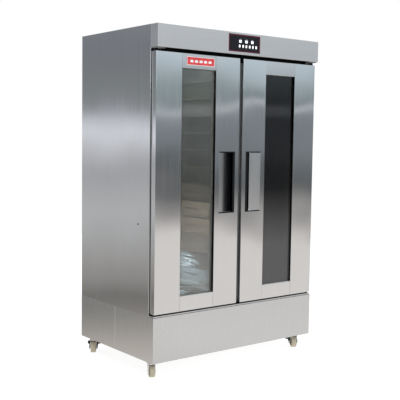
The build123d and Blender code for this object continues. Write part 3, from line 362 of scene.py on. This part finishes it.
# ---- material tools -----------------------------------------------------------------
class Shader:
    """A material's node tree with short ways to add and join its nodes."""

    def __init__(self, name):
        self.material = bpy.data.materials.new(name)
        self.material.use_nodes = True
        self.tree = self.material.node_tree
        self.surface = self.tree.nodes["Principled BSDF"]
        self.output = self.tree.nodes["Material Output"]

    def node(self, kind, **values):
        made = self.tree.nodes.new(kind)
        for key, value in values.items():
            setattr(made, key, value)
        return made

    def join(self, source, target):
        self.tree.links.new(source, target)

    def set(self, **values):
        for key, value in values.items():
            self.surface.inputs[key.replace("_", " ")].default_value = value

    def coordinates(self, scale):
        """Object coordinates, stretched along each axis."""
        place = self.node("ShaderNodeTexCoord")
        mapping = self.node("ShaderNodeMapping")
        mapping.inputs["Scale"].default_value = scale
        self.join(place.outputs["Object"], mapping.inputs["Vector"])
        return mapping.outputs["Vector"]

    def noise(self, scale, detail=3.0, roughness=0.5, stretch=(1, 1, 1)):
        made = self.node("ShaderNodeTexNoise")
        made.inputs["Scale"].default_value = scale
        made.inputs["Detail"].default_value = detail
        made.inputs["Roughness"].default_value = roughness
        self.join(self.coordinates(stretch), made.inputs["Vector"])
        return made.outputs["Fac"]

    def height(self):
        """How high a point lies in its object's own frame, in metres."""
        parts = self.node("ShaderNodeSeparateXYZ")
        self.join(self.coordinates((1, 1, 1)), parts.inputs["Vector"])
        return parts.outputs["Z"]

    def added(self, first, second):
        """The sum of two numbers, at most 1."""
        made = self.node("ShaderNodeMath", operation="ADD", use_clamp=True)
        self.join(first, made.inputs[0])
        self.join(second, made.inputs[1])
        return made.outputs["Value"]

    def between(self, fac, low, high, span=(0.3, 0.7)):
        """A number that runs from low to high as fac runs over the span."""
        made = self.node("ShaderNodeMapRange")
        made.inputs["From Min"].default_value = span[0]
        made.inputs["From Max"].default_value = span[1]
        made.inputs["To Min"].default_value = low
        made.inputs["To Max"].default_value = high
        self.join(fac, made.inputs["Value"])
        return made.outputs["Result"]

    def mixed(self, fac, first, second):
        made = self.node("ShaderNodeMix", data_type="RGBA")
        made.inputs["A"].default_value = (*first, 1)
        made.inputs["B"].default_value = (*second, 1)
        self.join(fac, made.inputs["Factor"])
        return made.outputs["Result"]

    def darkened(self, colour, fac, least):
        """A colour that drops to its least share where fac is low."""
        made = self.node("ShaderNodeMix", data_type="RGBA", blend_type="MULTIPLY")
        made.inputs["Factor"].default_value = 1.0
        self.join(colour, made.inputs["A"])
        self.join(self.mixed(fac, (least, least, least), (1, 1, 1)), made.inputs["B"])
        return made.outputs["Result"]

    def bump(self, height, strength, distance, under=None):
        made = self.node("ShaderNodeBump")
        made.inputs["Strength"].default_value = strength
        made.inputs["Distance"].default_value = distance
        self.join(height, made.inputs["Height"])
        if under:
            self.join(under, made.inputs["Normal"])
        return made.outputs["Normal"]

    def blend(self, fac, first, second):
        """A mix of two shaders by a factor."""
        made = self.node("ShaderNodeMixShader")
        self.join(fac, made.inputs["Fac"])
        self.join(first, made.inputs[1])
        self.join(second, made.inputs[2])
        return made.outputs["Shader"]

    def colour(self, socket):
        self.join(socket, self.surface.inputs["Base Color"])

    def roughness(self, socket):
        self.join(socket, self.surface.inputs["Roughness"])

    def normal(self, socket):
        self.join(socket, self.surface.inputs["Normal"])


def tinted(colour, share):
    """A colour made darker or lighter, with no part of it over 1."""
    return tuple(min(1.0, part * share) for part in colour)


def brushed_steel(name, colour, rough, grain="Z", wave=0.0, anisotropy=0.7, metallic=1.0):
    """Stainless sheet: fine scratches along the grain, faint streaks, and a slow wave in its flatness."""
    shader = Shader(name)
    along = {"X": (GRAIN_STRETCH, 1, 1), "Z": (1, 1, GRAIN_STRETCH)}[grain]
    fine = shader.noise(1100.0, detail=2.0, roughness=0.6, stretch=along)
    streaks = shader.noise(120.0, detail=3.0, roughness=0.6, stretch=along)
    clouds = shader.noise(4.0, detail=3.0, roughness=0.55)
    shade = shader.mixed(streaks, tinted(colour, 0.965), tinted(colour, 1.035))
    shader.colour(shader.darkened(shade, clouds, least=0.95))
    shader.roughness(shader.between(streaks, rough - 0.02, rough + 0.03))
    shader.set(Metallic=metallic, Anisotropic=anisotropy)
    tangent = shader.node("ShaderNodeTangent", direction_type="RADIAL", axis=grain)
    shader.join(tangent.outputs["Tangent"], shader.surface.inputs["Tangent"])
    normal = shader.bump(fine, strength=0.03, distance=0.0003)
    if wave:
        swell = shader.noise(2.4, detail=1.0, roughness=0.4)
        normal = shader.bump(swell, strength=1.0, distance=wave, under=normal)
    shader.normal(normal)
    return shader.material


def cast_metal(name, colour, rough, speckle=0.25, metallic=1.0):
    """Plated, painted or cast metal with a faint orange-peel surface."""
    shader = Shader(name)
    mottle = shader.noise(140.0)
    shader.colour(shader.mixed(mottle, tinted(colour, 0.88), tinted(colour, 1.08)))
    shader.roughness(shader.between(mottle, rough - 0.05, rough + 0.08))
    shader.set(Metallic=metallic)
    peel = shader.noise(900.0, detail=2.0)
    shader.normal(shader.bump(peel, strength=speckle, distance=0.0002))
    return shader.material


def moulded_plastic(name, colour, rough, grain_scale=COARSE_GRAIN, coat=0.0, specular=0.5):
    """Plastic or rubber with a fine moulded grain."""
    shader = Shader(name)
    patches = shader.noise(40.0, detail=2.0)
    shader.colour(shader.mixed(patches, tinted(colour, 0.9), tinted(colour, 1.1)))
    shader.roughness(shader.between(patches, rough - 0.05, rough + 0.06))
    shader.set(Coat_Weight=coat, Specular_IOR_Level=specular)
    grain = shader.noise(grain_scale, detail=2.0)
    shader.normal(shader.bump(grain, strength=0.15, distance=0.0002))
    return shader.material


def wadding(name, colour):
    """Mineral wool or foam."""
    shader = Shader(name)
    fibres = shader.noise(220.0, detail=6.0, roughness=0.7, stretch=(1, 1, 0.3))
    shader.colour(shader.mixed(fibres, tinted(colour, 0.7), tinted(colour, 1.15)))
    shader.set(Roughness=0.95)
    shader.normal(shader.bump(fibres, strength=0.6, distance=0.003))
    return shader.material


def window_glass(name, tint, mist, mist_share, painted_foot_share=0.0):
    """A misted pane with a mirror share that grows at a slant; its foot share adds film towards its foot,
    painted light that makes the foot lighter.
    """
    shader = Shader(name)
    clear = shader.node("ShaderNodeBsdfTransparent")
    smears = shader.noise(7.0, detail=4.0, roughness=0.6, stretch=(1, 1, 0.4))
    shader.join(shader.mixed(smears, tinted(tint, 0.94), tint), clear.inputs["Color"])
    film = shader.node("ShaderNodeBsdfDiffuse")
    shader.join(shader.mixed(smears, tinted(mist, 0.7), mist), film.inputs["Color"])
    patchy = shader.between(smears, mist_share * 0.6, mist_share * 1.4)
    foot = shader.between(shader.height(), 0.0, painted_foot_share, span=PAINTED_FOOT_HEIGHTS)
    through = shader.blend(shader.added(patchy, foot), clear.outputs["BSDF"], film.outputs["BSDF"])
    mirror = shader.node("ShaderNodeBsdfGlossy")
    mirror.inputs["Roughness"].default_value = 0.03
    mirror.inputs["Color"].default_value = (0.92, 0.95, 1.0, 1)
    fresnel = shader.node("ShaderNodeFresnel")
    fresnel.inputs["IOR"].default_value = GLASS_MIRROR_IOR
    shader.join(shader.blend(fresnel.outputs["Fac"], through, mirror.outputs["BSDF"]),
                shader.output.inputs["Surface"])
    shader.tree.nodes.remove(shader.surface)
    return shader.material


def lit_lens(name, colour, strength, rough):
    """A display window or key that is faintly lit from behind."""
    shader = Shader(name)
    glow = shader.noise(120.0, detail=1.0)
    shade = shader.mixed(glow, tinted(colour, 0.85), colour)
    shader.colour(shade)
    shader.join(shade, shader.surface.inputs["Emission Color"])
    shader.set(Emission_Strength=strength, Roughness=rough)
    return shader.material


HEADER_STEEL = brushed_steel("header_steel", (0.60, 0.61, 0.62), 0.34, "X", anisotropy=0.3)
SIDE_STEEL = brushed_steel("side_steel", (0.60, 0.61, 0.62), 0.13, wave=0.0035)
DOOR_STEEL = brushed_steel("door_steel", (0.60, 0.61, 0.62), 0.10, wave=0.007)
RAIL_STEEL = brushed_steel("door_rail_steel", (0.62, 0.63, 0.64), 0.13, "X", wave=0.004)
REVEAL_STEEL = cast_metal("reveal_steel", (0.42, 0.43, 0.43), 0.55, speckle=0.1, metallic=0.3)
PLINTH_STEEL = brushed_steel("plinth_steel", (0.57, 0.585, 0.595), 0.28, wave=0.003, anisotropy=0.4)
LINER_STEEL = brushed_steel("liner_steel", (0.60, 0.61, 0.61), 0.30, wave=0.002, anisotropy=0.4)
CHAMBER_STEEL = brushed_steel("chamber_steel", (0.60, 0.61, 0.61), 0.35, wave=0.002, anisotropy=0.4,
                              metallic=0.4)
HANDLE_STEEL = brushed_steel("handle_steel", (0.62, 0.63, 0.64), 0.24)
HINGE_STEEL = brushed_steel("hinge_steel", (0.55, 0.56, 0.57), 0.28, "X")
SCREW_STEEL = cast_metal("screw_steel", (0.62, 0.63, 0.64), 0.28, speckle=0.1)
TRIM_ALLOY = cast_metal("trim_aluminium", (0.74, 0.74, 0.73), 0.5, speckle=0.1, metallic=0.2)
ZINC = cast_metal("caster_zinc", (0.74, 0.75, 0.77), 0.30)
GALVANISED = cast_metal("galvanised_frame", (0.55, 0.56, 0.57), 0.45)
SPACER = cast_metal("spacer_aluminium", (0.82, 0.83, 0.83), 0.45, speckle=0.1, metallic=0.0)
FAN_ALLOY = cast_metal("fan_aluminium", (0.72, 0.72, 0.73), 0.35)
HEATER = cast_metal("heater_sheath", (0.34, 0.31, 0.29), 0.45)
MOTOR_PAINT = cast_metal("motor_paint", (0.05, 0.055, 0.06), 0.45, speckle=0.4, metallic=0.0)
# Black nylon for washers, trims and pedals, and also the black of the painted shade under the header and
# along the top of the frame over the doors.
BLACK_NYLON_AND_SHADE = moulded_plastic("black_nylon", (0.005, 0.006, 0.008), 0.5, specular=0.12)
FITTING_NYLON = moulded_plastic("fitting_nylon", (0.02, 0.02, 0.022), 0.5)
CREAM_NYLON = moulded_plastic("caster_nylon", (0.50, 0.46, 0.35), 0.40)
GASKET = moulded_plastic("gasket_rubber", (0.30, 0.30, 0.29), 0.65)
BEZEL = moulded_plastic("bezel_black", (0.006, 0.006, 0.010), 0.35, FINE_GRAIN, specular=0.2)
OUTLINE_RED = moulded_plastic("outline_red", (0.13, 0.008, 0.022), 0.4, FINE_GRAIN, specular=0.2)
BADGE_RED = moulded_plastic("badge_red", (0.62, 0.035, 0.04), 0.28, FINE_GRAIN, coat=0.5)
PRINT_WHITE = moulded_plastic("print_white", (0.80, 0.80, 0.80), 0.45, FINE_GRAIN)
PRINT_GREY = moulded_plastic("print_grey", (0.34, 0.34, 0.36), 0.5, FINE_GRAIN)
PRINT_BLUE = moulded_plastic("print_blue", (0.16, 0.24, 0.38), 0.5, FINE_GRAIN)
BOARD = moulded_plastic("board_green", (0.01, 0.10, 0.04), 0.4)
KEY_WHITE = lit_lens("key_white", (0.86, 0.88, 0.90), strength=0.5, rough=0.35)
DISPLAY = lit_lens("display_white", (0.80, 0.88, 0.95), strength=0.8, rough=0.15)
# The two panes' tint and film differ as painted light and shade, set apart for each door, and the right
# one's foot share paints its foot lighter.
LEFT_GLASS = window_glass("left_door_glass", tint=(0.88, 0.88, 0.86), mist=(0.22, 0.23, 0.21),
                          mist_share=0.13)
RIGHT_GLASS = window_glass("right_door_glass", tint=(0.80, 0.80, 0.79), mist=(0.16, 0.16, 0.16),
                           mist_share=0.04, painted_foot_share=0.45)
WOOL = wadding("insulation", (0.70, 0.60, 0.32))


# ---- cabinet body -------------------------------------------------------------------
def dress_header():
    """The header, whose underside is painted black: painted shade over the gap above the doors."""
    header = eased("header_fascia", HEADER_STEEL)
    repaint_faces(header, BLACK_NYLON_AND_SHADE, lambda face: face.normal.z < -FACING)


def dress_door_frame():
    """The frame behind the doors, whose front faces along its top are painted black: painted shade in the
    gap over the doors.
    """
    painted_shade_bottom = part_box("left_door_skin")[1].z - PAINTED_SHADE_LAP
    door_frame = eased("door_frame", LINER_STEEL)
    repaint_faces(door_frame, BLACK_NYLON_AND_SHADE,
                  lambda face: face.normal.y < -FACING and face.center.z > painted_shade_bottom)


def dress_body():
    """The outer sheets, the plinth, the inside of the chamber and what is under and behind it."""
    for node in ("left_outer_side", "right_outer_side", "rear_outer_panel", "top_outer_panel"):
        eased(node, SIDE_STEEL)
    dress_header()
    eased("plinth_panels", PLINTH_STEEL)
    eased("hinge_plates", HINGE_STEEL, PLATE_EDGE)
    dress_door_frame()
    eased("base_frame", GALVANISED)
    eased("plinth_rear_grille", GALVANISED)
    eased("chamber_liner", CHAMBER_STEEL)
    eased("tray_racks", CHAMBER_STEEL, FINE_EDGE)
    eased("water_pan", LINER_STEEL)
    paint_node("insulation_slabs", WOOL)
    paint_node("washers_and_strips", BLACK_NYLON_AND_SHADE)
    paint_node("rear_fittings", FITTING_NYLON)
    paint_node("fan_motor", MOTOR_PAINT)
    paint_node("heating_elements", HEATER)
    paint_node("fan_wheel", FAN_ALLOY)
    paint_node("fan_guard", ZINC)
    paint_node("control_board", BOARD)


def pan_head(bm, low, high):
    """A domed screw head with a round socket, in place of a plain one of that box.

    A head lies across the shortest side of its box. Those along Y face the rear, the others face down.
    """
    size = high - low
    axis_index = min(range(3), key=lambda axis: size[axis])
    radius = max(size) / 2
    height = size[axis_index]
    outward = 1 if axis_index == 1 else -1
    axis = Vector([outward if index == axis_index else 0 for index in range(3)])
    base = (low + high) / 2 - axis * height / 2
    profile = [(radius, 0.0), (radius, height * HEAD_RIM_SHARE)]
    for step in range(1, HEAD_DOME_STEPS):
        angle = step / HEAD_DOME_STEPS * pi / 2
        across = HEAD_FLAT_SHARE + (1 - HEAD_FLAT_SHARE) * cos(angle)
        up = HEAD_RIM_SHARE + (1 - HEAD_RIM_SHARE) * sin(angle)
        profile.append((radius * across, height * up))
    socket_radius = radius * SOCKET_SHARE
    profile.append((socket_radius * SOCKET_LIP, height))
    profile.append((socket_radius, height * SOCKET_LIP_LEVEL))
    profile.append((socket_radius, height * (1 - SOCKET_DEPTH_SHARE)))
    lathe(bm, base, axis, profile, ROUND_STEPS)


def dress_fasteners():
    """All screw and bolt heads, as one piece."""
    def heads(bm):
        for low, high in loose_boxes("fasteners"):
            pan_head(bm, low, high)

    stand_for(softened("fastener_heads", heads, HEAD_EDGE), SCREW_STEEL, "fasteners")


def seam_strips():
    """A bright strip in the upright seam between the two side panels of the plinth."""
    low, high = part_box("plinth_panels")

    def strips(bm):
        for side in (-1, 1):
            face_x = side * high.x
            depth = (face_x - side * SEAM_STRIP_DEPTH, face_x + side * SEAM_STRIP_PROUD)
            width = (SEAM_Y - SEAM_STRIP_W / 2, SEAM_Y + SEAM_STRIP_W / 2)
            corners = [(x, y, z) for x in depth for y in width for z in (low.z, high.z)]
            verts = [bm.verts.new(corner) for corner in corners]
            bmesh.ops.convex_hull(bm, input=verts)

    attach_beside(softened("plinth_seam_strips", strips, STRIP_EDGE), TRIM_ALLOY, "plinth_panels")


def side_plugs():
    """A small domed plug that closes a hole in each side."""
    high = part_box("right_outer_side")[1]

    def domes(bm):
        for side in (-1, 1):
            base = (side * high.x, *PLUG_AT)
            angles = [step / PLUG_STEPS * pi / 2 for step in range(PLUG_STEPS)]
            profile = [(PLUG_R * cos(angle), PLUG_PROUD * sin(angle)) for angle in angles]
            lathe(bm, base, (side, 0, 0), profile, ROUND_STEPS)

    attach_beside(built("side_plugs", domes), BLACK_NYLON_AND_SHADE, "washers_and_strips")


# ---- doors --------------------------------------------------------------------------
def dress_door(side, glass):
    """A door: its skin has upright stiles, rails over and under the window, and the window's reveal."""
    low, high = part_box(side + "_door_glass_spacer")

    def on_rail(face):
        return low.x < face.center.x < high.x

    def on_reveal(face):
        return on_rail(face) and low.z < face.center.z < high.z and abs(face.normal.y) < EDGE_ON

    skin = eased(side + "_door_skin", DOOR_STEEL)
    repaint_faces(skin, RAIL_STEEL, on_rail)
    repaint_faces(skin, REVEAL_STEEL, on_reveal)
    eased(side + "_door_inner_pan", LINER_STEEL)
    paint_node(side + "_door_core", WOOL)
    paint_node(side + "_door_glazing", glass)
    paint_node(side + "_door_glass_spacer", SPACER)
    paint_node(side + "_door_gasket", GASKET)
    paint_node(side + "_door_handle", HANDLE_STEEL)
    eased(side + "_door_handle_trim", BLACK_NYLON_AND_SHADE, TRIM_EDGE)
    paint_node(side + "_door_hinge_bushings", BLACK_NYLON_AND_SHADE)


def loaf_outline(x, z):
    """A plain loaf from the side: a flat base under a low round top."""
    width, height = LOAF_SIZE
    angles = [step / LOAF_CROWN_STEPS * pi for step in range(LOAF_CROWN_STEPS + 1)]
    top = [(x + width / 2 * cos(turn), z + height * (sin(turn) / 2 - LOAF_CROWN_DROP)) for turn in angles]
    foot = width * LOAF_FOOT_SHARE
    return [(x + foot, z - height / 2), *top, (x - foot, z - height / 2)]


def dress_badge():
    """A plain red plate with a light border and a row of loaves."""
    low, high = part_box("door_badge")
    middle = centre("door_badge")
    size = (high.x - low.x, high.z - low.z)
    face_y = high.y - BADGE_T
    outer = rounded_outline((middle.x, middle.z), size, BADGE_CORNER_R)
    inner_size = (size[0] - 2 * BADGE_BORDER_W, size[1] - 2 * BADGE_BORDER_W)
    inner = rounded_outline((middle.x, middle.z), inner_size, BADGE_CORNER_R - BADGE_BORDER_W / 2)

    def plate(bm):
        slab(bm, outer, high.y, face_y)

    def print_on_plate(bm):
        ring_slab(bm, outer, inner, face_y, face_y - PRINT_T)
        for number in range(LOAF_COUNT):
            x = middle.x + (number - (LOAF_COUNT - 1) / 2) * LOAF_PITCH
            slab(bm, loaf_outline(x, middle.z), face_y, face_y - PRINT_T)

    stand_for(built("badge_plate", plate), BADGE_RED, "door_badge")
    attach_beside(built("badge_print", print_on_plate), PRINT_WHITE, "door_badge")


# ---- control panel ------------------------------------------------------------------
def digit(bm, character, middle, back, front):
    """One digit of a display, from straight segments."""
    half_w = DIGIT_SIZE[0] / 2
    half_h = DIGIT_SIZE[1] / 2
    for letter in DIGITS[character]:
        across, up, level = SEGMENTS[letter]
        place = (middle[0] + across * half_w, middle[1] + up * half_h)
        length = (2 * half_w if level else half_h) - STROKE_GAP
        size = (length, DIGIT_STROKE) if level else (DIGIT_STROKE, length)
        slab(bm, rounded_outline(place, size, STROKE_CORNER_R, STROKE_CORNER_STEPS), back, front)


def panel_print():
    """The red outline of the panel, the marks beside displays and keys, and the numbers shown."""
    low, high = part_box("control_bezel")
    face_y = low.y
    front_y = face_y - PRINT_T
    middle = ((low.x + high.x) / 2, (low.z + high.z) / 2)
    outer_size = (high.x - low.x - 2 * OUTLINE_INSET, high.z - low.z - 2 * OUTLINE_INSET)
    inner_size = (outer_size[0] - 2 * OUTLINE_W, outer_size[1] - 2 * OUTLINE_W)
    displays = loose_boxes("display_windows")

    def outline(bm):
        outer = rounded_outline(middle, outer_size, OUTLINE_CORNER_R)
        inner = rounded_outline(middle, inner_size, OUTLINE_CORNER_R / 2)
        ring_slab(bm, outer, inner, face_y, front_y)

    def marks(bm):
        for box_low, box_high in displays:
            place = ((box_low.x + box_high.x) / 2, (box_low.z + box_high.z) / 2 + DISPLAY_MARK_RISE)
            mark = rounded_outline(place, DISPLAY_MARK, DISPLAY_MARK_CORNER_R, MARK_CORNER_STEPS)
            slab(bm, mark, face_y, front_y)
        for number in range(1, KEY_COUNT + 1):
            key = centre(f"key_{number}")
            place = (key.x, key.z - KEY_MARK_DROP)
            mark = rounded_outline(place, KEY_MARK, KEY_MARK_CORNER_R, MARK_CORNER_STEPS)
            slab(bm, mark, face_y, front_y)

    def readings(bm):
        for (box_low, box_high), text in zip(displays, READINGS):
            for number, character in enumerate(text):
                x = (box_low.x + box_high.x) / 2 + (number - 0.5) * DIGIT_PITCH
                place = (x, (box_low.z + box_high.z) / 2)
                digit(bm, character, place, box_low.y, box_low.y - PRINT_T)

    attach_beside(built("panel_outline", outline), OUTLINE_RED, "control_bezel")
    attach_beside(built("panel_marks", marks), PRINT_GREY, "control_bezel")
    attach_beside(built("display_readings", readings), PRINT_BLUE, "control_bezel")


def dress_controls():
    """The control panel: its bezel, displays, keys and print."""
    eased("control_bezel", BEZEL, BEZEL_EDGE)
    paint_node("display_windows", DISPLAY)
    for number in range(1, KEY_COUNT + 1):
        paint_node(f"key_{number}", KEY_WHITE)
    panel_print()


# ---- casters ------------------------------------------------------------------------
def dress_casters():
    """Four casters, of which two have a brake pedal."""
    paint_node("caster_plates", ZINC)
    for corner in ("front_left", "front_right", "rear_left", "rear_right"):
        paint_node(corner + "_fork", ZINC)
        paint_node(corner + "_wheel", CREAM_NYLON)
    for corner in ("front_right", "rear_left"):
        paint_node(corner + "_brake_pedal", BLACK_NYLON_AND_SHADE)


# ---- camera, floor and light --------------------------------------------------------
# The surround is brighter and warmer towards the front right, where the doors look.
BRIGHT_WAY = (0.616, -0.788, 0.0)
# How bright the surround is at each height above or below the horizon, in degrees.
FRONT_SKY = (
    (-14.0, (1.06, 1.01, 0.97)),
    (-8.0, (1.04, 0.98, 0.94)),
    (-6.6, (0.72, 0.68, 0.65)),
    (-5.0, (0.38, 0.37, 0.36)),
    (-3.6, (0.19, 0.19, 0.19)),
    (-2.2, (0.16, 0.18, 0.19)),
    (-1.0, (0.28, 0.30, 0.32)),
    (0.6, (0.30, 0.33, 0.36)),
    (1.5, (0.30, 0.33, 0.35)),
    (1.8, (0.80, 0.84, 0.87)),
    (2.2, (0.80, 0.84, 0.87)),
    (2.6, (0.26, 0.31, 0.32)),
    (3.4, (0.36, 0.43, 0.44)),
    (5.0, (0.66, 0.76, 0.81)),
    (6.4, (0.84, 0.95, 1.04)),
    (9.0, (0.82, 0.86, 0.90)),
    (14.0, (0.85, 0.87, 0.90)),
)
BACK_SKY = (
    (-14.0, (0.60, 0.57, 0.54)),
    (-12.0, (0.40, 0.38, 0.36)),
    (-8.3, (0.55, 0.55, 0.54)),
    (-5.4, (0.70, 0.70, 0.70)),
    (-3.6, (0.60, 0.60, 0.61)),
    (-2.4, (0.52, 0.52, 0.55)),
    (-1.2, (0.74, 0.74, 0.76)),
    (0.0, (1.10, 1.12, 1.18)),
    (1.0, (0.92, 0.94, 1.00)),
    (1.9, (0.34, 0.36, 0.38)),
    (3.5, (0.30, 0.32, 0.32)),
    (6.4, (0.27, 0.28, 0.31)),
    (9.0, (0.36, 0.38, 0.40)),
    (14.0, (0.45, 0.46, 0.48)),
)
# The ramps reach this high, and the two sides of the surround blend over SKY_TURN.
SKY_LIMIT = sin(radians(14.5))
SKY_TURN = 0.35
# The floor's own greys, and the light that it adds to stay white to the eye.
FLOOR_GREYS = ((0.35, 0.35, 0.35), (0.38, 0.38, 0.38))
FLOOR_LIFT = 0.82
WHITE = (1, 1, 1, 1)
# How bright the floor is in reflections, by how far it lies towards the bright side, in metres.
FLOOR_GLOW = (
    (-4.5, (0.56, 0.55, 0.54)),
    (-2.7, (0.42, 0.40, 0.38)),
    (-2.1, (0.27, 0.255, 0.24)),
    (-1.6, (0.34, 0.32, 0.30)),
    (-1.1, (0.52, 0.485, 0.45)),
    (-0.7, (0.74, 0.66, 0.59)),
    (0.0, (0.92, 0.88, 0.84)),
    (0.6, (1.04, 0.99, 0.95)),
)


def make_camera():
    yaw = radians(CAMERA_YAW)
    pitch = radians(CAMERA_PITCH)
    roll = radians(CAMERA_ROLL)
    ahead = Vector((sin(yaw) * cos(pitch), cos(yaw) * cos(pitch), sin(pitch)))
    level_right = ahead.cross(Vector((0, 0, 1))).normalized()
    level_up = level_right.cross(ahead)
    right = level_right * cos(roll) + level_up * sin(roll)
    up = level_up * cos(roll) - level_right * sin(roll)
    data = bpy.data.cameras.new("camera")
    data.lens = CAMERA_FOCAL_MM
    data.sensor_width = CAMERA_SENSOR_MM
    camera = bpy.data.objects.new("camera", data)
    bpy.context.scene.collection.objects.link(camera)
    turn = Matrix((right, up, -ahead)).transposed().to_4x4()
    camera.matrix_world = Matrix.Translation(CAMERA_AT) @ turn
    bpy.context.scene.camera = camera


def facing_share(tree, vector, span, interpolation="SMOOTHSTEP"):
    """How far a place or direction lies towards the bright side, from 0 to 1 over the span."""
    dot = tree.nodes.new("ShaderNodeVectorMath")
    dot.operation = "DOT_PRODUCT"
    dot.inputs[1].default_value = BRIGHT_WAY
    tree.links.new(vector, dot.inputs[0])
    share = tree.nodes.new("ShaderNodeMapRange")
    share.interpolation_type = interpolation
    share.inputs["From Min"].default_value = -span
    share.inputs["From Max"].default_value = span
    tree.links.new(dot.outputs["Value"], share.inputs["Value"])
    return share.outputs["Result"]


def colour_ramp(tree, fac, stops):
    ramp = tree.nodes.new("ShaderNodeValToRGB")
    tree.links.new(fac, ramp.inputs["Fac"])
    elements = ramp.color_ramp.elements
    elements.remove(elements[0])
    for index, (at, colour) in enumerate(stops):
        element = elements[0] if index == 0 else elements.new(at)
        element.position = at
        element.color = (*colour, 1)
    return ramp.outputs["Color"]


def make_floor():
    """A plain white floor: bright to the eye, and in reflections brighter towards the front."""
    def disc(bm):
        bmesh.ops.create_circle(bm, cap_ends=True, radius=FLOOR_RADIUS, segments=96)

    floor = built("floor", disc)
    shader = Shader("white_floor")
    tree = shader.tree
    clouds = shader.noise(1.2)
    shader.colour(shader.mixed(clouds, *FLOOR_GREYS))
    shader.set(Roughness=0.9, Emission_Color=WHITE, Emission_Strength=FLOOR_LIFT)
    share = facing_share(tree, shader.coordinates((1, 1, 1)), FLOOR_RADIUS, "LINEAR")
    stops = [((reach / FLOOR_RADIUS + 1) / 2, colour) for reach, colour in FLOOR_GLOW]
    glow = shader.node("ShaderNodeEmission")
    shader.join(colour_ramp(tree, share, stops), glow.inputs["Color"])
    path = shader.node("ShaderNodeLightPath")
    plain = shader.surface.outputs["BSDF"]
    seen = shader.blend(path.outputs["Is Camera Ray"], glow.outputs["Emission"], plain)
    shader.join(seen, shader.output.inputs["Surface"])
    paint(floor, shader.material)


def sky_ramp(tree, height, stops):
    """The surround's colour over the height of a direction, from (degrees, colour) stops."""
    places = [((sin(radians(degrees_up)) / SKY_LIMIT + 1) / 2, colour) for degrees_up, colour in stops]
    return colour_ramp(tree, height, places)


def make_world():
    """A studio surround: white where the camera sees it, and graded by height in reflections."""
    world = bpy.data.worlds.new("studio")
    bpy.context.scene.world = world
    world.use_nodes = True
    tree = world.node_tree
    tree.nodes.clear()
    place = tree.nodes.new("ShaderNodeTexCoord")
    split = tree.nodes.new("ShaderNodeSeparateXYZ")
    tree.links.new(place.outputs["Generated"], split.inputs["Vector"])
    height = tree.nodes.new("ShaderNodeMapRange")
    height.inputs["From Min"].default_value = -SKY_LIMIT
    height.inputs["From Max"].default_value = SKY_LIMIT
    tree.links.new(split.outputs["Z"], height.inputs["Value"])
    front = sky_ramp(tree, height.outputs["Result"], FRONT_SKY)
    back = sky_ramp(tree, height.outputs["Result"], BACK_SKY)
    share = facing_share(tree, place.outputs["Generated"], SKY_TURN)
    studio = tree.nodes.new("ShaderNodeBackground")
    blend = tree.nodes.new("ShaderNodeMix")
    blend.data_type = "RGBA"
    tree.links.new(share, blend.inputs["Factor"])
    tree.links.new(back, blend.inputs["A"])
    tree.links.new(front, blend.inputs["B"])
    tree.links.new(blend.outputs["Result"], studio.inputs["Color"])
    backdrop = tree.nodes.new("ShaderNodeBackground")
    backdrop.inputs["Color"].default_value = WHITE
    path = tree.nodes.new("ShaderNodeLightPath")
    mix = tree.nodes.new("ShaderNodeMixShader")
    tree.links.new(path.outputs["Is Camera Ray"], mix.inputs["Fac"])
    tree.links.new(studio.outputs["Background"], mix.inputs[1])
    tree.links.new(backdrop.outputs["Background"], mix.inputs[2])
    output = tree.nodes.new("ShaderNodeOutputWorld")
    tree.links.new(mix.outputs["Shader"], output.inputs["Surface"])


def area_light(name, at, towards, size, power, colour=(1, 1, 1)):
    """A rectangular lamp that points from one place towards another."""
    data = bpy.data.lights.new(name, "AREA")
    data.shape = "RECTANGLE"
    data.size, data.size_y = size
    data.energy = power
    data.color = colour
    light = bpy.data.objects.new(name, data)
    bpy.context.scene.collection.objects.link(light)
    light.location = at
    light.rotation_euler = (Vector(towards) - Vector(at)).to_track_quat("-Z", "Y").to_euler()
    return light


def bay_lamp(name, **values):
    """A lamp inside the cabinet, which lights it but isn't seen itself."""
    area_light(name, **values).visible_camera = False


def make_lights():
    middle = (0, 0, 0.9)
    area_light("overhead", at=(0, -0.5, 3.6), towards=middle, size=(3.5, 3.5), power=70)
    area_light("front_fill", at=(-2.0, -4.0, 2.6), towards=middle, size=(2.0, 2.0), power=30)
    bay_lamp("left_bay_lamp", at=(-0.256, 0.0, 1.54), towards=(-0.256, 0.0, 0.4),
             size=(0.2, 0.3), power=0.45, colour=(0.95, 1.0, 0.80))
    bay_lamp("left_bay_warm_lamp", at=(-0.20, 0.0, 0.72), towards=(-0.02, 0.06, 0.70),
             size=(0.1, 0.2), power=0.45, colour=(1.0, 0.82, 0.66))
    bay_lamp("left_bay_floor_lamp", at=(-0.15, 0.05, 0.40), towards=(-0.06, 0.08, 0.33),
             size=(0.1, 0.3), power=0.9, colour=(0.62, 0.82, 1.0))
    bay_lamp("right_bay_lamp", at=(0.256, 0.0, 1.54), towards=(0.256, 0.0, 0.4),
             size=(0.2, 0.3), power=0.2)


dress_body()
dress_fasteners()
seam_strips()
side_plugs()
dress_door("left", LEFT_GLASS)
dress_door("right", RIGHT_GLASS)
dress_badge()
dress_controls()
dress_casters()
make_camera()
make_floor()
make_world()
make_lights()

bpy.context.scene.view_settings.view_transform = "Standard"
